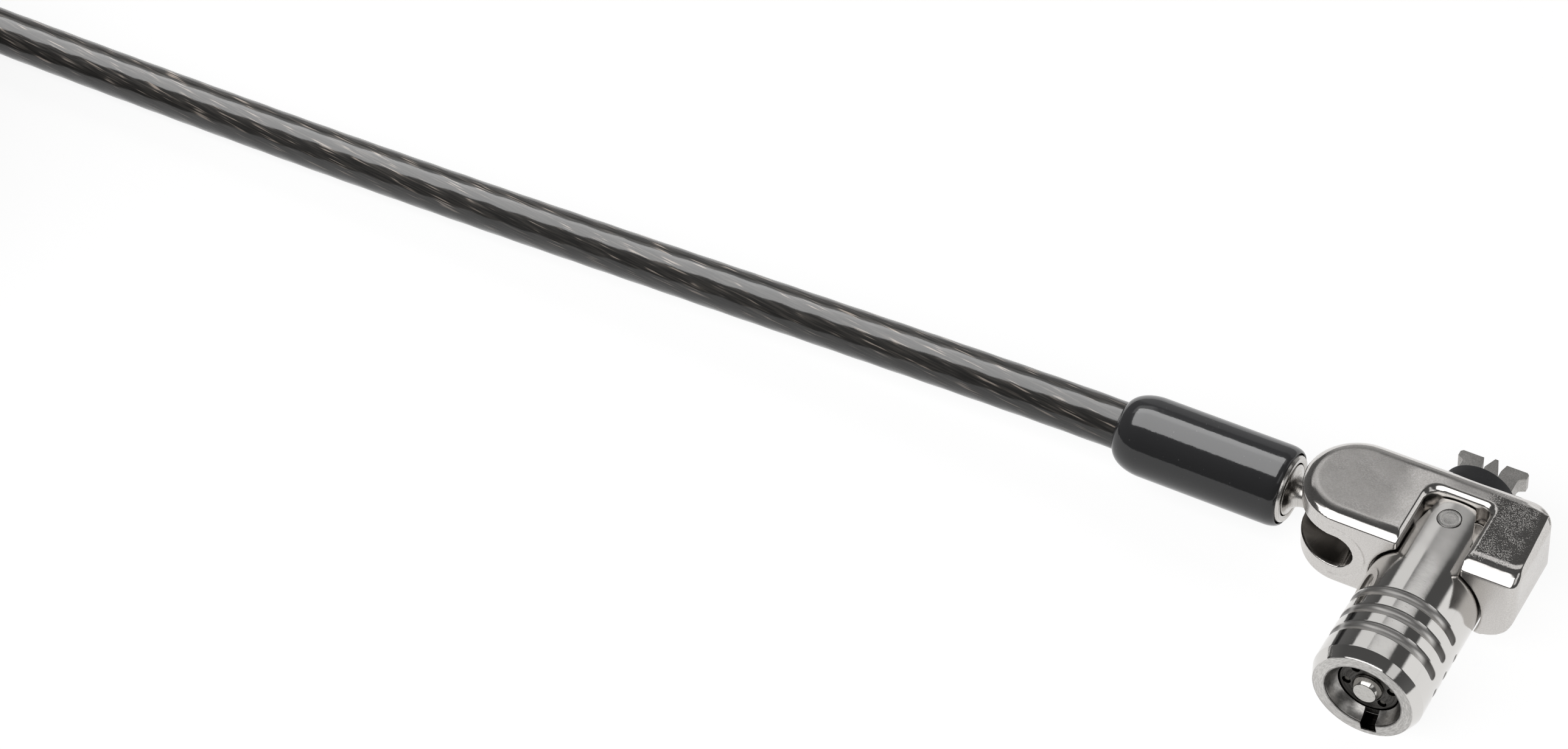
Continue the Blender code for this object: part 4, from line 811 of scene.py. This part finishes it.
# --- swivel and boot ---
def stud():
    """A drilled ball on the cross pin, a waisted neck and a flat round head."""
    ball, neck, head, waist, shoulder = 1.7, 1.15, 2.3, 4.35, 5.75
    profile = [(0, 8.75), (head, 8.75), (head, RING_BACK), (1.95, RING_BACK)]
    profile += [(1.95, RING_FRONT), (head, RING_FRONT), (head, shoulder + 0.08), (2.22, shoulder)]
    for a in radians(*range(81, -1, -9)):
        out, far = (head - neck) * (1 - math.cos(a)), (shoulder - waist) * math.sin(a)
        profile.append((neck + out, waist + far))
    meet = math.asin(neck / ball)
    for i in range(24):
        a = meet + (math.pi - meet) * i / 24
        profile.append((ball * math.sin(a), ball * math.cos(a)))
    profile.append((0, -ball))
    made = lathe("swivel_ball_stud", profile, PIVOT, (-1, 0, 0))
    bore = bar("bore", PIVOT_BORE, (PIVOT_X, 0, LEVEL - 4), (PIVOT_X, 0, LEVEL + 4), 32)
    return cut(made, bore)


def ferrule():
    """Steel sleeve with a chamfered rim where it shows beside the boot."""
    front, wide, back = 5.8, 3.05, 17.45
    profile = [(2.35, back), (wide, back), (wide, front + 0.18), (2.92, front), (2.56, front)]
    profile += [(2.44, front + 0.08), (2.38, front + 0.3), (2.38, RING_FRONT)]
    profile += [(2.72, RING_FRONT), (2.72, RING_BACK), (2.45, RING_BACK), (2.45, 9.05)]
    profile += [(0.6, 9.05), (0.6, 9.85), (2.35, 9.85)]
    return lathe("ferrule_sleeve", profile, PIVOT, (-1, 0, 0), 128, closed=True)


def boot():
    """Black dipped sleeve, round-shouldered where the cable comes out."""
    front, back = BOOT_FRONT, BOOT_BACK
    profile = []
    for a in radians(*range(12, 91, 6)):
        profile.append((BOOT_R - 1.5 * (1 - math.sin(a)), back - 2.9 * (1 - math.cos(a))))
    profile += [(BOOT_R, 17.0), (BOOT_R, 14.0), (BOOT_R, 10.0), (BOOT_R, front + 1.15)]
    profile += [(3.63, front + 0.8), (3.57, front + 0.48), (3.47, front + 0.2)]
    profile += [(3.36, front + 0.05), (3.28, front), (3.21, front + 0.04), (3.2, front + 0.2)]
    profile += [(3.2, 17.75), (2.35, 17.75), (2.35, back - 0.05)]
    return lathe("boot_sleeve", profile, PIVOT, (-1, 0, 0), 160, closed=True)


# --- cable ---
def smooth_route(knots, step):
    """Points along a Catmull-Rom curve through knots, about step apart."""
    padded = [knots[0] * 2 - knots[1], *knots, knots[-1] * 2 - knots[-2]]
    points = []
    for before, here, there, after in zip(padded, padded[1:], padded[2:], padded[3:]):
        count = max(1, round((there - here).length / step))
        for i in range(count):
            t = i / count
            bend = (2 * before - 5 * here + 4 * there - after) * t**2
            sway = (3 * here - before - 3 * there + after) * t**3
            points.append(0.5 * (2 * here + (there - before) * t + bend + sway))
    return points + [knots[-1].copy()]


def coil_spot(turn):
    """The coil's middle line after a number of turns."""
    layer_turns = COIL_TURNS / COIL_LAYERS
    layer = min(int(turn / layer_turns), COIL_LAYERS - 1)
    share = turn / layer_turns - layer
    if layer % 2:
        share = 1 - share
    radius = COIL_OUTER + (COIL_INNER - COIL_OUTER) * share
    height = COIL_LIFT + CABLE_R
    change, last = 0.5, 0.25  # the turns in which it climbs to the next layer, and to the tail
    for step in range(1, COIL_LAYERS):
        climb = (turn - step * layer_turns) / change + 0.5
        height += COIL_PITCH * min(max(climb, 0.0), 1.0)
    height += TAIL_RISE * min(max((turn - (COIL_TURNS - last)) / last, 0.0), 1.0)
    angle = QUARTER + 2 * math.pi * turn
    centre = Vector((COIL_X, -COIL_OUTER, TABLE))
    return centre + Vector((radius * math.cos(angle), radius * math.sin(angle), height))


def tail_route():
    """From the coil's end in over its top, to the end loop."""
    start = coil_spot(COIL_TURNS)
    turned = QUARTER + 2 * math.pi * COIL_TURNS + QUARTER
    heading = Vector((math.cos(turned), math.sin(turned), 0))
    side = Vector((-heading.y, heading.x, 0))
    centre = start + heading * (2 * CABLE_D + COIL_ROOM) + side * TAIL_TURN
    points, bend = [start + heading * CABLE_D], math.radians(120)
    for i in range(25):
        a = bend * i / 24
        points.append(centre + TAIL_TURN * (heading * math.sin(a) - side * math.cos(a)))
    return points, heading * math.cos(bend) + side * math.sin(bend)


def eye_frame():
    """Origin at the middle of the crimp sleeve, local X towards the end loop."""
    points, final = tail_route()
    left = Vector((-final.y, final.x, 0))
    turn = Matrix((final, left, (0, 0, 1))).transposed().to_4x4()
    return Matrix.Translation(points[-1] + final * CRIMP_HALF) @ turn


def cable_path():
    """The cable up to the crimp sleeve: the run, the stored coil and its tail."""
    meet = coil_spot(0) + Vector((CABLE_D + COIL_ROOM, 0, 0))
    fall = LEVEL - meet.z
    knots = [Vector((x, 0, meet.z + share * fall)) for x, share in CABLE_ROUTE]
    run = smooth_route(knots + [meet + Vector((2 * CABLE_D, 0, 0)), meet], 0.5)
    steps = int(COIL_TURNS * 96)
    coil = [coil_spot(COIL_TURNS * i / steps) for i in range(steps + 1)]
    tail, final = tail_route()
    return evened(run + coil + tail + [tail[-1] + final * CRIMP_LAP], SEEN_LENGTH)


def eye_path(start):
    """The end loop, from the sleeve's middle out and back into it."""
    place = eye_frame()
    back = -EYE_PITCH
    middle = (CRIMP_HALF + EYE_LENGTH - EYE_R, back / 2)
    bow = arc(middle, EYE_R, *radians(100, -100), 14)
    mouth = CRIMP_HALF + CABLE_D
    knots = [(0.3, 0.0), (mouth, 0.0), *bow, (mouth, back), (-4.8, back)]
    eye = smooth_route([place @ Vector((x, y, 0)) for x, y in knots], 1.5)
    line, at = evened(eye, 0.0)
    return line, at + start


def evened(points, seen):
    """The route again at an even step, fine up to the length seen and coarser after it."""
    line = np.array([tuple(p) for p in points])
    steps = np.linalg.norm(np.diff(line, axis=0, prepend=line[:1] - 1), axis=1)
    line = line[steps > 1e-4]
    steps = np.linalg.norm(np.diff(line, axis=0, prepend=line[:1]), axis=1)
    length = np.cumsum(steps)
    fine = np.arange(0, seen, SEEN_STEP)
    rest = np.linspace(seen, length[-1], int((length[-1] - seen) / HIDDEN_STEP))
    at = np.concatenate([fine, rest])
    return np.stack([np.interp(at, length, line[:, k]) for k in range(3)], axis=1), at


def cable_mesh(name, line, at):
    """A tube along a route whose skin follows the strands below it."""
    sides, wave, rows = 36, 0.012, len(line)
    tangents = np.gradient(line, axis=0)
    tangents /= np.linalg.norm(tangents, axis=1)[:, None]
    normal = Vector((0, 0, 1))
    points = []
    for i in range(rows):
        t = Vector(tangents[i])
        normal = (normal - t * normal.dot(t)).normalized()
        other = t.cross(normal)
        for k in range(sides):
            a = 2 * math.pi * k / sides
            lobe = wave * math.cos(STRAND_COUNT * (a - 2 * math.pi * at[i] / STRAND_LAY))
            spoke = math.cos(a) * normal + math.sin(a) * other
            points.append(Vector(line[i]) + (CABLE_R - wave + lobe) * spoke)
    coords = []
    for here, there in zip(at, at[1:]):
        for k in range(sides):
            one, two = k / sides, (k + 1) / sides
            coords += [(here, one), (here, two), (there, two), (there, one)]
    coords += [(0.0, 0.0)] * (2 * sides)
    ends = [list(range(sides)), [(rows - 1) * sides + k for k in range(sides)]]
    return mesh_object(name, points, quads(rows, sides) + ends, coords)


def oval(radius):
    """Round the end loop's two sides, the first of which is at the origin."""
    top = arc((0, 0), radius, 0, math.pi, 24)
    return top + arc((0, -EYE_PITCH), radius, math.pi, 2 * math.pi, 24)


def eye_crimp():
    """The oval sleeve that holds the end loop, pressed in three places."""
    sections = []
    for i in range(61):
        x = -CRIMP_HALF + 0.2 * i
        press = sum(0.22 * math.exp(-(((x - c) / 0.7) ** 2)) for c in (-3.4, 0.0, 3.4))
        lip = 0.18 * max(0.0, (abs(x) - (CRIMP_HALF - 0.4)) / 0.4) ** 2
        sections.append((oval(3.15 - press - lip), x))
    sleeve = loft("eye_crimp", sections)
    cut(sleeve, prism("bore", oval(2.35), -8, 8))
    sleeve.data.transform(eye_frame() @ Matrix.Rotation(QUARTER, 4, "Y"))
    return sleeve


def tie_band(left, right, floor, top, r):
    """A rounded rectangle in the strap's plane."""
    return (
        arc((right - r, floor + r), r, -QUARTER, 0, 8)
        + arc((right - r, top - r), r, 0, QUARTER, 8)
        + arc((left + r, top - r), r, QUARTER, 2 * QUARTER, 8)
        + arc((left + r, floor + r), r, 2 * QUARTER, 3 * QUARTER, 8)
    )


def tie_strap():
    """The strap round the stored coil, with a row of teeth across its top."""
    low, thick, around, bend = TIE_FLOOR, TIE_THICK, CABLE_R + COIL_ROOM, 1.5
    high = COIL_LIFT + (COIL_LAYERS - 1) * COIL_PITCH + CABLE_R + around + thick
    inner, outer = COIL_INNER - around, COIL_OUTER + around
    outside = tie_band(inner - thick, outer + thick, low, high, bend + thick)
    inside = tie_band(inner, outer, low + thick, high - thick, bend)
    tie = prism("tie_strap", outside, -3.0, 3.0)
    cut(tie, prism("inside", inside, -4.0, 4.0))
    teeth = []
    for i in range(10):
        left = inner + 2.6 + TIE_TOOTH * i
        right = left + TIE_TOOTH / 2
        teeth.append(box("tooth", (left, high - 0.28, -1.6), (right, high + 0.3, 1.6)))
    cut(tie, *teeth)
    round_edges(tie, 0.12, 50)
    turn = Matrix.Rotation(math.radians(170), 4, "Z") @ UPRIGHT
    tie.data.transform(Matrix.Translation((COIL_X, -COIL_OUTER, TABLE)) @ turn)
    return tie


# --- stage ---
def make_camera():
    """The photo's view: the axes and the place of a camera fitted to it."""
    data = bpy.data.cameras.new("camera")
    data.lens = 97.83
    data.sensor_width = 36.0
    data.sensor_fit = "HORIZONTAL"
    data.clip_start = 0.01
    data.clip_end = 20.0
    right = (0.86494, 0.49781, -0.06374)
    up = (-0.32862, 0.65776, 0.67776)
    back = (0.37932, -0.56527, 0.73252)
    place = (0.09472, -0.218875, 0.28394)
    turn = Matrix((right, up, back)).transposed().to_4x4()
    cam = show(bpy.data.objects.new("camera", data))
    cam.matrix_world = Matrix.Translation(place) @ turn
    bpy.context.scene.camera = cam


def make_world():
    """Panels overhead, to the right and behind, over dim walls; the camera sees plain white.

    across and depth are where a ray from the lock meets a ceiling one unit up.
    """
    world = bpy.data.worlds.new("studio")
    world.use_nodes = True
    bpy.context.scene.world = world
    g = Graph(world.node_tree)
    x, y, z = g.axes(g.node("TexCoord").outputs["Generated"])
    lift = g.math("MAXIMUM", z, 0.02)
    across, depth = g.math("DIVIDE", x, lift), g.math("DIVIDE", y, lift)
    reach = g.span(across, -0.42, -0.55, 0.79, 1.25)
    ahead = g.times(
        g.span(across, -1.42, -1.30),
        g.span(across, 0.46, 0.38),
        g.span(depth, 0.36, 0.46),
        g.span(g.math("SUBTRACT", depth, reach), 0.04, -0.04),
    )
    right = g.times(
        g.times(g.span(across, 0.60, 0.68), g.span(across, 1.3, 1.15)),
        g.times(g.span(depth, -0.8, -0.7), g.span(depth, 0.1, 0.0)),
    )
    beside = g.times(g.span(x, 0.60, 0.68), g.span(z, 0.52, 0.46), g.span(y, 0.2, 0.4))
    behind = g.times(g.span(y, 0.74, 0.82), g.span(z, 0.55, 0.45))
    lit = g.span(z, 0.0, 0.6, 0.14, 0.09)
    for share, level in ((ahead, 0.88), (right, 0.8), (beside, 1.0), (behind, 0.4)):
        lit = g.math("MULTIPLY_ADD", share, g.math("SUBTRACT", level, lit), lit)
    table = 0.9
    lit = g.math("MULTIPLY_ADD", g.span(z, -0.002, 0.002), g.math("SUBTRACT", lit, table), table)
    camera = g.node("LightPath").outputs["Is Camera Ray"]
    strength = g.math("MULTIPLY_ADD", camera, g.math("SUBTRACT", 1.0, lit), lit)
    background = g.nodes["Background"]
    g.feed(background.inputs["Color"], (1.0, 1.0, 1.0, 1.0))
    g.feed(background.inputs["Strength"], strength)


def make_lamps(sleeve, *cords):
    """A panel in front for all but the vinyl, and one overhead for each kind of vinyl alone.

    Each row holds two corners and a height in millimetres, and the panel's brightness.
    """
    front = (-1380.0, -1640.0), (440.0, -400.0), 1000.0, 2.0
    over_sleeve = (-228.0, -85.0), (20.0, 155.0), 205.0, 5.0
    over_cable = (-700.0, -85.0), (20.0, 150.0), 205.0, 5.0
    for name, ((x0, y0), (x1, y1), height, level), state, vinyl in (
        ("front_lamp", front, "EXCLUDE", (sleeve, *cords)),
        ("sleeve_lamp", over_sleeve, "INCLUDE", (sleeve,)),
        ("cable_lamp", over_cable, "INCLUDE", cords),
    ):
        data = bpy.data.lights.new(name, "AREA")
        data.shape = "RECTANGLE"
        data.size = (x1 - x0) * MM
        data.size_y = (y1 - y0) * MM
        data.energy = level * math.pi * data.size * data.size_y
        lamp = show(bpy.data.objects.new(name, data))
        lamp.location = PLACE + Vector(((x0 + x1) / 2, (y0 + y1) / 2, height)) * MM
        lamp.visible_camera = False
        linked = bpy.data.collections.new(name)
        for obj in vinyl:
            linked.objects.link(obj)
        for entry in linked.collection_objects:
            entry.light_linking.link_state = state
        lamp.light_linking.receiver_collection = linked


def make_floor():
    """A table that shows white, in reflections too, and keeps the lock's soft shadow."""
    bm = bmesh.new()
    bmesh.ops.create_circle(bm, cap_ends=True, segments=96, radius=3.0)
    data = bpy.data.meshes.new("floor")
    bm.to_mesh(data)
    bm.free()
    floor = show(bpy.data.objects.new("floor", data))
    mat = bpy.data.materials.new("white_table")
    mat.use_nodes = True
    g = Graph(mat.node_tree)
    g.nodes.remove(g.nodes["Principled BSDF"])
    matte, pale = [g.node("BsdfDiffuse", {"Color": (c, c, c, 1.0)}) for c in (0.8, 0.25)]
    glow = g.node("Emission", {"Color": (1.0, 1.0, 1.0, 1.0), "Strength": 0.88})
    shown = g.node("AddShader", {0: pale.outputs[0], 1: glow.outputs[0]})
    rays = g.node("LightPath").outputs
    direct = g.math("MAXIMUM", rays["Is Camera Ray"], rays["Is Glossy Ray"])
    direct = g.math("MAXIMUM", direct, rays["Is Transmission Ray"])
    mix = g.node("MixShader", {0: direct, 1: matte.outputs[0], 2: shown.outputs[0]})
    g.feed(g.nodes["Material Output"].inputs["Surface"], mix.outputs[0])
    data.materials.append(mat)


# --- assembly ---
def make_materials():
    return {
        "body": cast_nickel(),
        "barrel": polished_nickel(),
        "pin": turned_steel("pin_steel", (0.70, 0.685, 0.665), 0.3),
        "post": post_steel(),
        "stud": turned_steel("stud_steel", (0.62, 0.60, 0.575), 0.22, upright=False),
        "screw": turned_steel("screw_steel", (0.55, 0.54, 0.52), 0.3),
        "steel": plain_metal("plain_steel", (0.56, 0.55, 0.53), 0.32),
        "tumbler": plain_metal("tumbler_metal", (0.10, 0.095, 0.085), 0.3),
        "crimp": plain_metal("crimp_steel", (0.58, 0.565, 0.545), 0.3),
        "hook": sintered_steel(),
        "dark": dark_metal(),
        "pad": rubber_pad(),
        "boot": boot_vinyl(),
        "cable": cable_vinyl(),
        "tie": strap_plastic(),
    }


def dress_cad(mats):
    """Better materials for the CAD nodes that stay."""
    steel = ["drive_spindle", "spindle_clip", "housing_pin", "swivel_ring", "pivot_pin"]
    steel += [f"hook_{part}_{side}" for part in ("pin", "spring") for side in ("left", "right")]
    steel += [f"driver_{part}_{i + 1}" for part in ("pin", "spring") for i in range(TUMBLERS)]
    kept = {"mechanism_cover": "body", "tumbler_housing": "dark", **dict.fromkeys(steel, "steel")}
    for name, mat in kept.items():
        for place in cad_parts[name].material_slots:
            place.material = mats[mat]


def build(mats):
    settle(body_casting(), "lock_head", "satin_nickel", mats["body"], "lock_body", sharp=0)
    settle(barrel(), "lock_head", "polished_nickel", mats["barrel"], "barrel_sleeve", sharp=38)
    settle(flush_pin(), "lock_head", "turned_steel", mats["pin"], "barrel_pin")
    screw = "turned_steel", mats["screw"]
    settle(cover_screw("screw_left", -1), "lock_head", *screw, "cover_screw_left")
    settle(cover_screw("screw_right", 1), "lock_head", *screw, "cover_screw_right")
    keyway(mats)
    hook = "sintered_steel", mats["hook"]
    settle(hook_jaw("hook_jaw_left", -1), "left_hook", *hook, "left_hook")
    settle(hook_jaw("hook_jaw_right", 1), "right_hook", *hook, "right_hook")
    settle(blade(), "spreader", *hook, "spreader_blade")
    settle(pad(), "lock_head", "charcoal_rubber", mats["pad"], "bumper_pad")
    turned = "turned_steel", mats["stud"]
    settle(stud(), "swivel", *turned, "swivel_stud")
    settle(ferrule(), "cable", *turned, "crimp_ferrule")
    sleeve = settle(boot(), "cable", "gloss_black_plastic", mats["boot"], "cable_boot", sharp=60)
    crimp = settle(eye_crimp(), "cable", "turned_steel", mats["crimp"], "loop_sleeve")
    settle(tie_strap(), "cable", "tie_plastic", mats["tie"], "cable_tie")
    line, at = cable_path()
    length = float(at[-1])
    vinyl = "smoked_vinyl", mats["cable"]
    stored = "cable_run", "cable_coil", "cable_tail"
    cable = settle(cable_mesh("cable", line, at), "cable", *vinyl, *stored, sharp=60)
    loop = cable_mesh("anchor_eye", *eye_path(length))
    settle(loop, "cable", *vinyl, "end_loop", sharp=60)
    make_lamps(sleeve, cable, loop)


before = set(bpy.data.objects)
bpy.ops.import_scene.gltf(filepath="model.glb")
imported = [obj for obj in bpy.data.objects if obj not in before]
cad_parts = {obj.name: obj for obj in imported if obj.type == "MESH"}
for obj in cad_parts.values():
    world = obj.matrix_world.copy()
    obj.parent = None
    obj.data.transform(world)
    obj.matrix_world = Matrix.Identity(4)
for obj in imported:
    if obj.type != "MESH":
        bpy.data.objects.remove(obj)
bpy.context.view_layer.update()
bpy.context.scene.view_settings.view_transform = "Standard"
make_camera()
make_world()
make_floor()
materials = make_materials()
dress_cad(materials)
build(materials)
